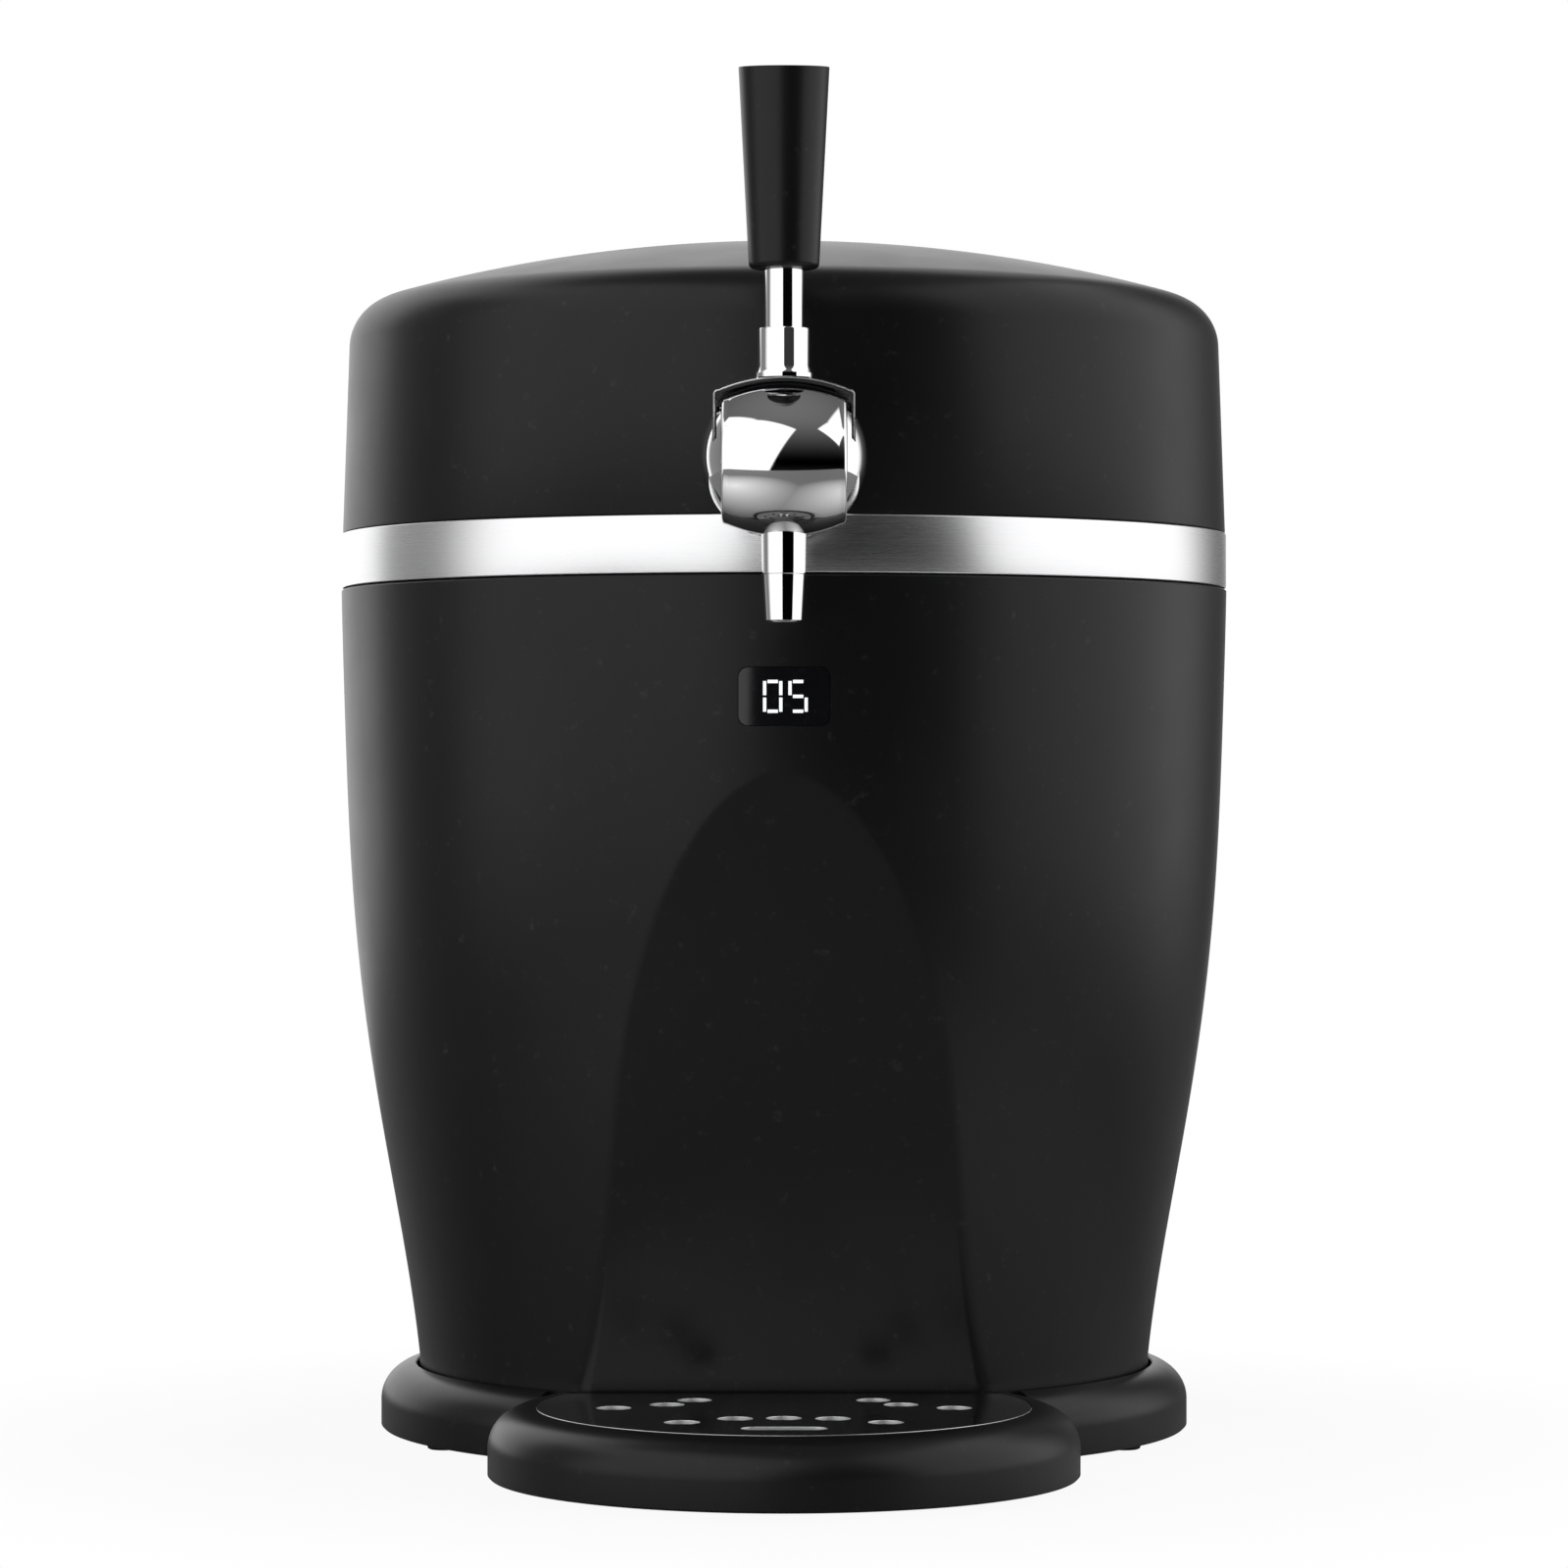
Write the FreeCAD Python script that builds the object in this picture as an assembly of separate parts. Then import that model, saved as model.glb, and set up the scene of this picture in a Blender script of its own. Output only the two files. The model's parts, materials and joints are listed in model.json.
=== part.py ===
import FreeCAD, Part
import math
import os

# Mini keg beer dispenser: a thermoelectric cooler for one small keg, with a hinged lid,
# a lever tap on the lid's front and a drip tray that pulls out of the base.
# Millimetres. Every piece is drawn about the keg's upright axis, from the table up, and is
# moved back by ORIGIN_SHIFT when it is saved: the saved origin is on the table, under the
# middle of the whole dispenser.
# The front, with the tap, faces -Y; +X is to the right of someone facing it; +Z is up.

V = FreeCAD.Vector
UP = V(0, 0, 1)
DOWN = V(0, 0, -1)
RIGHT = V(1, 0, 0)
REAR = V(0, 1, 0)
FULL_TURN = 360.0
QUARTER_BEZIER = 0.5523      # handle length that makes a cubic curve a quarter ellipse
CORNER_FLATS = 5             # flats that round off a small block's corner

# ---- driving dimensions ------------------------------------------------------------

# Plays and gaps
FIT = 0.15                   # play between pieces that are fixed together
RUN = 0.05                   # radial play of a shaft in its hole
SPLIT_GAP = 0.4              # slit between the lid and the body
TRAY_GAP = 0.5               # slit between the tray and the base ring
PAST = 5.0                   # how far a cutting tool runs past what it cuts

# Feet, base ring and base plate
FOOT_OUT = 2.0               # height of the feet below the base
FOOT_R = 5.0
FOOT_INSET = 9.0             # from the base's side to the feet's middles
FOOT_DEG = (-28.0, 48.0, 132.0, 208.0)
BASE_OUT = 12.0              # the base is this much wider all round than the shell's foot
BASE_H = 21.9
BASE_SIDE_H = 8.4            # straight part of the base's side
RIM_REACH = 12.2             # how far the rounded top runs inwards
RING_GAP = 1.0               # dark slit between the ring and the shell
RING_WALL = 2.5
PLATE_T = 2.5
BASE_SCREW_R = 1.5
BASE_SCREW_HEAD_R = 2.4
BASE_SCREW_HEAD_H = 1.5
BASE_SCREW_L = 7.5
BASE_SCREW_DEG = (-40.0, 70.0, 110.0, 220.0)
POST_R = 2.9
SKIN = 1.0                   # material left under a blind hole
TIP_ROOM = 1.5               # free depth past a screw's tip
EMBED = 1.0                  # how far the parts of one solid run into each other
SLOT_HALF_W = 0.4            # half the width of a screw's slot
INTAKE_R = 36.0              # circle that the air intake slots fill
INTAKE_SLOT_W = 3.2
INTAKE_PITCH = 8.0

# Shell of the body
BODY_H = 259.4               # from the base's underside to the lid's slit
SHELL_R = 137.9
SHELL_TAPER = 24.4           # the foot is this much narrower all round
SHELL_WALL = 2.5
# The barrel's side, as shares of its height and of its growth in radius
SIDE_SHAPE = ((0.0, 0.0), (0.181, 0.266), (0.387, 0.615), (0.592, 0.84), (0.797, 0.943), (1.0, 1.0))

# Recess for the glass: a slightly bulging wall that leans out to the front
RECESS_TOP_Z = 203.3         # above the base's underside
RECESS_TOP_IN = 1.6          # from the shell's top radius back to the recess's top edge
RECESS_FOOT_IN = 16.5        # from the shell's foot radius back to the recess's foot
RECESS_BULGE = 1.9

# Rear pocket with the mains inlet and the switch
POCKET_W = 68.0
POCKET_H = 22.0
POCKET_Z = 23.5              # its lower edge, above the base's underside
POCKET_IN = 9.5              # from the shell's foot radius to the pocket's floor
INLET_W = 28.0
INLET_H = 20.0
INLET_D = 20.0
INLET_FRONT = 1.5            # how far its flange stands out of the pocket's floor
INLET_X = -16.0
INLET_FLANGE = 2.0
INLET_CORNER = 3.0
SOCKET_W = 23.0
SOCKET_H = 15.0
SOCKET_D = 15.0
SOCKET_CORNER = 2.0
PIN_W = 4.0
PIN_T = 2.0
PIN_PITCH = 7.0
PIN_L = 7.0
PIN_SPLIT = 2.0              # the middle pin stands above, the outer two below the middle
SWITCH_W = 15.0
SWITCH_H = 20.0
SWITCH_D = 14.0
SWITCH_X = 18.0
SWITCH_RIM = 1.5
SWITCH_CORNER = 1.5
ROCKER_WALL = 1.0            # the switch's wall beside the rocker
ROCKER_FLOOR = 4.0
ROCKER_SINK = 1.5            # from the pocket's floor in to the rocker's axis
ROCKER_SIDE_GAP = 0.35
ROCKER_END_GAP = 0.8
ROCKER_ROOT = 3.2            # depth of its back behind the axis
ROCKER_ROOT_SHARE = 0.7      # its back is this much of its face's length
ROCKER_LIP = 1.5
ROCKER_VALLEY = 1.2
ROCKER_TILT = 10.0           # rest tilt of the rocker, to the off side
ROCKER_RISE = 2.2
ROCKER_PIN_R = 1.2
ROCKER_PIN_END = 0.3         # wall left past the pin's hole
ROCKER_PIN_PLAY = 0.2        # end play of the pin

# Exhaust slots, beside the pocket
VENT_W = 3.2
VENT_H = 17.0
VENT_COUNT = 6
VENT_STEP_DEG = 6.0
VENT_FIRST_DEG = 24.0
VENT_REACH = 10.0            # the cutters start this far inside the shell's foot

# Cooling stack, from the base plate up
FAN_SIZE = 80.0
FAN_T = 20.0
FAN_LIFT = 3.5
FAN_BORE_R = 37.5
FAN_TIP_GAP = 1.2
FAN_HOLE_PITCH = 71.5
FAN_SCREW_R = 1.9
FAN_SCREW_HEAD_R = 3.4
FAN_SCREW_HEAD_H = 2.0
FAN_HUB_R = 14.0
FAN_BLADES = 7
FAN_BLADE_T = 1.4
FAN_BLADE_W = 15.0
FAN_BLADE_DEG = 42.0
FAN_SHAFT_R = 1.5
FAN_BACK_T = 3.0
FAN_STRUT_HALF_W = 2.0
ROTOR_GAP = 0.6              # between the motor's back and the rotor
ROTOR_SET = 1.0              # the rotor ends this far below the frame's top
FAN_SHAFT_UP = 1.5
FAN_SHAFT_L = 13.0
BOSS_R = 4.9
SINK_GAP = 1.0
SINK_SIZE = 80.0
SINK_BASE_T = 4.0
SINK_FIN_H = 20.0
SINK_FIN_T = 1.5
SINK_FINS = 12
PELTIER_SIZE = 40.0
PELTIER_T = 3.8
COLD_PLATE_R = 45.0
COLD_PLATE_T = 5.0
SINK_SCREW_R = 1.5
SINK_SCREW_HEAD_R = 3.0
SINK_SCREW_HEAD_H = 1.6
SINK_SEAT_D = 2.0            # depth of the pocket for its head
SINK_SCREW_PITCH = 52.0
DECK_T = 2.4
DECK_GAP = 1.0               # between the deck and the heat sink

# Keg well
KEG_WELL_R = 87.5            # a 5 litre keg is 171 mm across
LINER_T = 1.2
RIM_T = 2.5
RIM_DROP = 1.9               # the rim lies this far below the slit
PROBE_R = 3.0
PROBE_L = 30.0
PROBE_Z = 90.0

# Electronics
BOARD_T = 1.6
BOARD_W = 34.0
BOARD_L = 88.0
BOARD_X = 69.0
BOARD_LIFT = 5.0
STANDOFF_R = 3.0
DISPLAY_W = 26.3
DISPLAY_H = 16.8
DISPLAY_Z = 224.2            # its middle, above the base's underside
DISPLAY_CORNER = 2.8
DISPLAY_T = 2.0
DIGIT_H = 9.5
DIGIT_W = 5.6
DIGIT_STROKE = 0.95
DIGIT_PITCH = 7.3
DIGIT_GAP = 0.35
DIGIT_DEPTH = 0.4
DIGIT_OFFSET = 0.4           # the number sits a little right of the middle
CONTROL_W = 44.0
CONTROL_H = 30.0
CONTROL_GAP = 4.5            # from the window's back to the board
CONTROL_ROOM = 1.0           # free space round the board
LAMP_T = 2.0                 # block that lights the digits from behind
LAMP_INSET = 2.0
LAMP_HALF_H = 6.0
LEAD_R = 1.5
LEAD_INSET = 6.0             # from the board's edges to where the lead leaves it
LEAD_RUN = 36.0              # from there forward to its upright run
LEAD_START = 1.0             # its end is this far above the board
LEAD_RISE = 12.0
LEAD_END_INSET = 4.0
MAINS_RUN = 22.0             # the mains lead's straight run out of the inlet
MAINS_SIDE = 40.0            # its sideways run
MAINS_RISE = 10.0
MAINS_END_INSET = 3.0
# Blocks on the power board: left, right, front and rear from its middle, and height
POWER_BLOCKS = ((-12.0, 12.0, -14.0, 12.0, 20.0), (-9.0, 9.0, 24.0, 38.0, 14.0), (13.5, 15.5, -12.0, 10.0, 18.0))
CAPACITOR_R = 5.5
CAPACITOR_H = 20.0
CAPACITOR_X = 7.0
CAPACITOR_Y = -24.0

# Lid
BAND_H = 17.4
BAND_STEP = 0.2              # the band lies this far inside the shell's top
BAND_T = 2.0
LID_H = 107.3                # from the slit to the top of the dome
LID_STEP = 0.3               # the lid's side lies this far inside the band
LID_DRAFT = 2.0              # the side leans in by this angle
SHOULDER_R = 15.4
DOME_R = 453.5
LID_WALL = 2.5
SKIRT_T = 2.5
SKIRT_LAP = 2.0              # the skirt reaches this far up inside the lid's side
LID_WELL_WALL = 37.4         # from the lid's side in to the well
LID_WELL_CORNER = 12.0
LID_WELL_TOP = 86.0          # above the slit
LID_LINER_T = 2.0
GASKET_W = 5.0
GASKET_T = 2.0
LID_SCREW_R = 1.5
LID_SCREW_L = 7.0
LID_SCREW_HEAD_R = 3.0
LID_SCREW_HEAD_H = 1.2
LID_SCREW_OUT = 18.0         # from the well's side out to the screws
LID_SCREW_DEG = (45.0, 135.0, 225.0, 315.0)

# Hinge at the rear
HINGE_OUT = 7.1              # from the shell to the pin's middle
HINGE_PIN_R = 2.0
KNUCKLE_R = 5.5
HINGE_HALF_W = 26.0
LEAF_HALF_W = 13.7
LEAF_PLAY = 0.6
HINGE_FACE = 3.1             # plates stand this far out of the shell
BRACKET_DROP = 26.0
BRACKET_ROOT = 8.0           # both plates start this far inside the shell's top radius
BRACKET_BACK_DROP = 11.0
BRACKET_INNER_DROP = 4.0
BRACKET_ROOT_DROP = 6.0
BRACKET_SCREW_DROP = 16.9
BRACKET_PLATE_GAP = 7.5      # from the hinge's middle down to the plate between the cheeks
LEAF_RISE = 37.0
LEAF_BACK_RISE = 6.0
LEAF_SLOPE_RISE = 16.0
LEAF_ROOT_RISE = 9.0
LEAF_INNER_RISE = 7.0
LEAF_SCREW_RISE = 29.6
HINGE_SCREW_R = 1.9
HINGE_SCREW_HEAD_R = 3.2
HINGE_SCREW_HEAD_H = 1.8
HINGE_SCREW_X = 8.0

# Tap
BALL_R = 23.6
BALL_OUT = 15.0              # its middle, in front of the flange
BALL_RISE = 32.0             # its middle, above the slit
NOSE_OUT = 5.0               # the pivot, in front of the ball's middle
NOSE_DROP = 2.4              # the nose and its pivot sit this far below the ball's middle
NOSE_HALF_W = 17.6
NOSE_R = 20.15
NOSE_SIDE_R = 16.8
NOSE_EDGE = 0.9
NOSE_BACK = 4.0              # its rear face, behind the pivot
NOSE_TURN = 89.0             # the valve head's cutter turns this far each way
FLANGE_R = 24.0
FLANGE_EDGE = 2.5
FLANGE_T = 9.6               # from the lid's side to the flange's front
SHANK_R = 8.0
SHANK_BORE_R = 3.5
SHANK_IN_BALL = 7.0
NUT_AF_R = 14.0
NUT_T = 6.0
NUT_SIDES = 6
WASHER_T = 3.0
WASHER_OUT = 3.0
BEER_BORE_R = 3.0
BEER_WALL = 2.5              # between the spindle and the beer channel
SPOUT_TOP_R = 6.4
SPOUT_TIP_R = 5.2
SPOUT_BORE_R = 4.2
SPOUT_SPIGOT_R = 5.0
SPOUT_SPIGOT_H = 7.0
SPOUT_IN_NOSE = 1.0
SPOUT_STEP = 0.3
SPOUT_STEP_Z = 11.8          # from the spout's top to where its taper starts
SPOUT_L = 25.0
HOOD_HALF_W = 19.95
HOOD_R = 25.0
HOOD_SIDE_R = 21.2
SWEEP_CROWN = 1.0            # the sweep's sides end this far below its middle
HOOD_CORNER = 1.2
HOOD_WALL = 1.1
HOOD_BACK_DEG = 28.0
HOOD_FRONT_DEG = 12.0
LEVER_DEG = 35.0
HOOD_PLAY = 0.4
SLOT_MARGIN_DEG = 3.0
CORE_R = 23.3                # valve core under the hood, at its middle and at its sides
CORE_SIDE_R = 19.3
SHROUD_HALF_W = 18.0
SHROUD_R = 22.8
SHROUD_SIDE_R = 19.0
SHROUD_BACK_DEG = 20.0
SHROUD_FRONT_DEG = 8.0
SPINDLE_R = 2.5
HUB_R = 5.0
COLLAR_R = 7.4
COLLAR_FOOT_R = 8.3
COLLAR_FOOT_H = 1.6
COLLAR_H = 13.4
COLLAR_EDGE = 0.5
COLLAR_SINK = 1.5            # its foot reaches this far down round the hood
STEM_R = 5.5
STEM_H = 32.0
STEM_IN_GRIP = 15.3
STEM_STEP = 1.5              # the stem is this much thinner inside the collar
GRIP_FOOT_R = 10.0
GRIP_TOP_R = 12.9
GRIP_H = 58.0
GRIP_EDGE = 1.6
GRIP_EDGE_SHARE = 0.3
GRIP_SLANT_DEG = 5.0

# Hose and coupler inside the lid
HOSE_R = 4.0
HOSE_BORE_R = 2.6
BARB_L = 10.0
COUPLER_FLANGE_R = 20.0
COUPLER_FLANGE_T = 3.0
COUPLER_R = 13.0
COUPLER_H = 22.0
COUPLER_NOSE_R = 9.0
COUPLER_NOSE_H = 9.0
COUPLER_BORE_R = 2.0
COUPLER_BARB_DROP = 13.5     # below the lid well's ceiling
SEAL_T = 1.6
SEAL_H = 3.0
SEAL_UP = 2.0
CLIP_T = 1.1
CLIP_W = 5.0
CLIP_SET = 3.0               # from the barb's root to the clip
CLIP_EAR_HALF_W = 1.5
CLIP_EAR_H = 3.0
HOSE_END_GAP = 1.0
HOSE_RUN_OUT = 23.0          # straight runs beside the coupler and beside the shank
HOSE_RUN_IN = 33.0
ARC_SHARE = 0.45             # share of the shorter run that an arc takes up

# Drip tray and grid
TRAY_OUT = 5.8               # its middle, in front of the base ring's front
TRAY_R = 85.4
TRAY_FLOOR_T = 3.0
TRAY_WALL = 2.5
TRAY_BACK_GAP = 1.3          # between the tray and the foot of the recess
SEAT_W = 3.3                 # ledge that carries the grid
GRID_R = 71.3
GRID_GAP = 0.3
GRID_BACK_GAP = 0.8          # wider at the rear, so that it lifts out clear of the recess
GRID_T = 1.2
GRID_TOP = 19.7              # above the base's underside
GRID_HOLE_R = 5.0
GRID_SPOKES = (-90.0, 30.0, 150.0)
GRID_RINGS = ((30.0, 0.0), (34.0, 24.0), (49.2, 35.6))
GRID_SLOT_L = 24.0
GRID_SLOT_W = 7.6
GRID_SLOT_Y = 54.5
GRID_EDGE_MARGIN = 1.5
PAD_R = 5.0
PAD_PCR = 60.0
PAD_DEG = (-90.0, -15.0, 195.0)

# ---- heights and places worked out from them ---------------------------------------

SHELL_FOOT_R = SHELL_R - SHELL_TAPER
BASE_R = SHELL_FOOT_R + BASE_OUT
FOOT_PCR = BASE_R - FOOT_INSET
BAND_R = SHELL_R - BAND_STEP
LID_R = BAND_R - LID_STEP
LID_WELL_R = LID_R - LID_WELL_WALL
LID_SCREW_PCR = LID_WELL_R + LID_SCREW_OUT
SKIRT_R = BAND_R - BAND_T - FIT
SKIRT_IN_R = SKIRT_R - SKIRT_T
RECESS_TOP_Y = SHELL_R - RECESS_TOP_IN
RECESS_FOOT_Y = SHELL_FOOT_R - RECESS_FOOT_IN
POCKET_Y = SHELL_FOOT_R - POCKET_IN
TRAY_Y = BASE_R + TRAY_OUT
FLANGE_FRONT_Y = LID_R + FLANGE_T
BALL_Y = FLANGE_FRONT_Y + BALL_OUT
NOSE_Y = BALL_Y + NOSE_OUT
SHANK_FRONT_Y = FLANGE_FRONT_Y + SHANK_IN_BALL

BASE_Z = FOOT_OUT
PLATE_TOP = BASE_Z + PLATE_T
BASE_TOP = BASE_Z + BASE_H
RING_IN_R = SHELL_FOOT_R + RING_GAP
SPLIT_Z = BASE_Z + BODY_H
LID_BOTTOM = SPLIT_Z + SPLIT_GAP
BAND_TOP = SPLIT_Z + BAND_H
LID_TOP = SPLIT_Z + LID_H
DRAFT = math.radians(LID_DRAFT)

FAN_Z = PLATE_TOP + FAN_LIFT
SINK_Z = FAN_Z + FAN_T + SINK_GAP
SINK_BASE_Z = SINK_Z + SINK_FIN_H
PELTIER_Z = SINK_BASE_Z + SINK_BASE_T
COLD_Z = PELTIER_Z + PELTIER_T
LINER_Z = COLD_Z + COLD_PLATE_T
WELL_FLOOR = LINER_Z + LINER_T
LINER_OUT_R = KEG_WELL_R + LINER_T
DECK_TOP = PELTIER_Z
DECK_Z = DECK_TOP - DECK_T
RIM_TOP = SPLIT_Z - RIM_DROP
RIM_Z = RIM_TOP - RIM_T
FOAM_IN = SHELL_WALL + FIT
BOARD_Z = PLATE_TOP + BOARD_LIFT
POCKET_LOW = BASE_Z + POCKET_Z
POCKET_MID = POCKET_LOW + POCKET_H / 2

DISPLAY_MID = BASE_Z + DISPLAY_Z
WELL_TOP = SPLIT_Z + LID_WELL_TOP
LID_WELL_OUT_R = LID_WELL_R + LID_LINER_T
LINER_FLANGE_TOP = LID_BOTTOM + LID_LINER_T
HINGE_Y = SHELL_R + HINGE_OUT
HINGE_Z = SPLIT_Z
HINGE_FACE_Y = SHELL_R + HINGE_FACE
HINGE_ROOT_Y = SHELL_R - BRACKET_ROOT

BALL_MID = SPLIT_Z + BALL_RISE
NOSE_MID = BALL_MID - NOSE_DROP
SPOUT_TOP = NOSE_MID - NOSE_R + SPOUT_IN_NOSE
SPOUT_TIP = SPOUT_TOP - SPOUT_L
COLLAR_Z = NOSE_MID + HOOD_R
STEM_Z = COLLAR_Z + COLLAR_H
GRIP_Z = STEM_Z + STEM_H - STEM_IN_GRIP
SHANK_REAR_Y = LID_WELL_R - WASHER_T - NUT_T
BEER_CHANNEL_Z = NOSE_MID - SPINDLE_R - BEER_BORE_R - BEER_WALL

COUPLER_BARB_Z = WELL_TOP - COUPLER_BARB_DROP
TRAY_BACK = RECESS_FOOT_Y + TRAY_BACK_GAP
SEAT_Z = BASE_Z + GRID_TOP - GRID_T
BASIN_R = GRID_R - SEAT_W
KEEP_R = RING_IN_R
ORIGIN_SHIFT = (TRAY_Y + TRAY_R - HINGE_Y - KNUCKLE_R) / 2


# ---- shaping helpers ---------------------------------------------------------------

def box(x0, x1, y0, y1, z0, z1):
    """An upright block between two corners."""
    return Part.makeBox(x1 - x0, y1 - y0, z1 - z0, V(x0, y0, z0))


def rod(radius, length, foot, direction=UP):
    """A cylinder from foot along direction."""
    return Part.makeCylinder(radius, length, foot, direction)


def tube(outer, inner, length, foot, direction=UP):
    """A cylinder with a hole right through it."""
    past = direction * PAST
    return rod(outer, length, foot, direction).cut(rod(inner, length + 2 * PAST, foot - past, direction))


def fuse(pieces):
    """One solid from several that touch or overlap."""
    whole = pieces[0]
    if len(pieces) > 1:
        whole = whole.multiFuse(pieces[1:])
    return whole.removeSplitter()


def polar(radius, degrees, z=0.0):
    """A point on a circle about the keg's axis."""
    angle = math.radians(degrees)
    return V(radius * math.cos(angle), radius * math.sin(angle), z)


def chain(points):
    """Straight edges from point to point."""
    return [Part.LineSegment(a, b).toShape() for a, b in zip(points, points[1:])]


def turned(edges, axis_point=V(0, 0, 0), axis=UP, degrees=FULL_TURN):
    """The solid that a closed outline makes when it turns about an axis."""
    return Part.Face(Part.Wire(edges)).revolve(axis_point, axis, degrees)


def extruded(points, along):
    """A prism on a polygon."""
    return Part.Face(Part.Wire(chain(points + points[:1]))).extrude(along)


def save(name, shape):
    """Write one sub-part, moved so that the origin is under the middle of the whole."""
    shape.translated(REAR * ORIGIN_SHIFT).exportStep("parts/" + name + ".step")


def rounded_box_y(half_w, half_h, corner, mid_z, y0, y1, mid_x=0.0):
    """A block along Y whose corners are rounded in small flats."""
    outline = []
    step = math.pi / 2 / CORNER_FLATS
    for quarter, (side_x, side_z) in enumerate(((1, 1), (-1, 1), (-1, -1), (1, -1))):
        centre = V(mid_x + side_x * (half_w - corner), y0, mid_z + side_z * (half_h - corner))
        for index in range(CORNER_FLATS + 1):
            angle = quarter * math.pi / 2 + index * step
            outline.append(centre + V(corner * math.cos(angle), 0, corner * math.sin(angle)))
    return extruded(outline, REAR * (y1 - y0))


def rounded_route(points):
    """A wire of straight runs joined by tangent arcs, each as large as its runs allow."""
    edges = []
    start = points[0]
    for before, corner, after in zip(points, points[1:], points[2:]):
        to_before = before - corner
        to_after = after - corner
        trim = ARC_SHARE * min(to_before.Length, to_after.Length)
        first = corner + to_before.normalize() * trim
        last = corner + to_after.normalize() * trim
        half_turn = (math.pi - to_before.getAngle(to_after)) / 2
        radius = trim / math.tan(half_turn)
        bisector = (to_before + to_after).normalize()
        centre_distance = radius / math.cos(half_turn)
        middle = corner + bisector * (centre_distance - radius)
        edges.append(Part.LineSegment(start, first).toShape())
        edges.append(Part.Arc(first, middle, last).toShape())
        start = last
    edges.append(Part.LineSegment(start, points[-1]).toShape())
    return Part.Wire(edges)


def pipe(points, radius):
    """A round rod that follows a rounded route."""
    route = rounded_route(points)
    direction = points[1] - points[0]
    ring = Part.Wire(Part.Circle(points[0], direction, radius).toShape())
    return route.makePipeShell([ring], True, False)


# ---- outlines that several pieces share --------------------------------------------

def barrel(inset, low, high):
    """The body's barrel, its side moved inwards by inset, between two heights."""
    growth = SHELL_R - SHELL_FOOT_R
    height = SPLIT_Z - BASE_TOP
    side = [V(SHELL_FOOT_R + share_r * growth - inset, 0, BASE_TOP + share_z * height)
            for share_z, share_r in SIDE_SHAPE]
    curve = Part.BSplineCurve()
    curve.interpolate(side)
    foot = V(side[0].x, 0, 0)
    ends = [V(0, 0, SPLIT_Z), V(0, 0, 0), foot, side[0]]
    edges = [curve.toShape()] + chain([side[-1]] + ends)
    whole = turned(edges)
    return whole.common(rod(BASE_R * 2, high - low, V(0, 0, low)))


def recess_drum(inset):
    """A wide drum across the body, whose front is the wall of the glass recess."""
    top = V(0, -RECESS_TOP_Y, BASE_Z + RECESS_TOP_Z)
    foot = V(0, -RECESS_FOOT_Y, BASE_TOP)
    chord = top - foot
    radius = chord.Length ** 2 / (8 * RECESS_BULGE) + RECESS_BULGE / 2
    inward = V(0, chord.z, -chord.y).normalize()
    middle = (top + foot) * 0.5
    centre = middle + inward * (radius - RECESS_BULGE)
    half_length = 2 * SHELL_R
    return rod(radius - inset, 2 * half_length, centre - RIGHT * half_length, RIGHT)


def rear_pocket(grow):
    """The space of the rear pocket, grown on every side."""
    half = POCKET_W / 2 + grow
    return box(-half, half, POCKET_Y - grow, POCKET_Y + SHELL_R, POCKET_LOW - grow, POCKET_LOW + POCKET_H + grow)


def body_form(inset, low, high):
    """The body's outer form moved inwards: the barrel without the recess and the rear pocket."""
    return barrel(inset, low, high).common(recess_drum(inset)).cut(rear_pocket(inset))


def lid_form(inset, low):
    """The lid's outer form moved inwards: a leaning side, a round shoulder and a dome."""
    shoulder = SHOULDER_R - inset
    dome = DOME_R - inset
    dome_mid = LID_TOP - DOME_R
    lean = math.tan(DRAFT)
    edge_r = LID_R - SHOULDER_R / math.cos(DRAFT)
    # The shoulder's middle lies on the leaning line and at DOME_R - SHOULDER_R from the dome's
    a = 1 + lean ** 2
    b = -2 * (lean * (edge_r + lean * BAND_TOP) + dome_mid)
    c = (edge_r + lean * BAND_TOP) ** 2 + dome_mid ** 2 - (DOME_R - SHOULDER_R) ** 2
    mid_z = (-b + math.sqrt(b * b - 4 * a * c)) / (2 * a)
    mid_r = edge_r - lean * (mid_z - BAND_TOP)
    tilt = math.atan2(mid_z - dome_mid, mid_r)
    half_way = (tilt + DRAFT) / 2
    middle = V(mid_r, 0, mid_z)
    side_top = middle + V(math.cos(DRAFT), 0, math.sin(DRAFT)) * shoulder
    arc_mid = middle + V(math.cos(half_way), 0, math.sin(half_way)) * shoulder
    arc_top = middle + V(math.cos(tilt), 0, math.sin(tilt)) * shoulder
    crown = V(0, 0, dome_mid + dome)
    dome_half = (tilt + math.pi / 2) / 2
    dome_way = V(dome * math.cos(dome_half), 0, dome_mid + dome * math.sin(dome_half))
    side_low = V(side_top.x + lean * (side_top.z - low), 0, low)
    edges = [Part.LineSegment(side_low, side_top).toShape(),
             Part.Arc(side_top, arc_mid, arc_top).toShape(),
             Part.Arc(arc_top, dome_way, crown).toShape()]
    edges += chain([crown, V(0, 0, low), side_low])
    return turned(edges)


def lid_outside():
    """The lid's closed form with its band, for pieces that seat on it."""
    return fuse([lid_form(0, BAND_TOP), rod(BAND_R, BAND_TOP - LID_BOTTOM + FIT, V(0, 0, LID_BOTTOM))])


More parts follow.
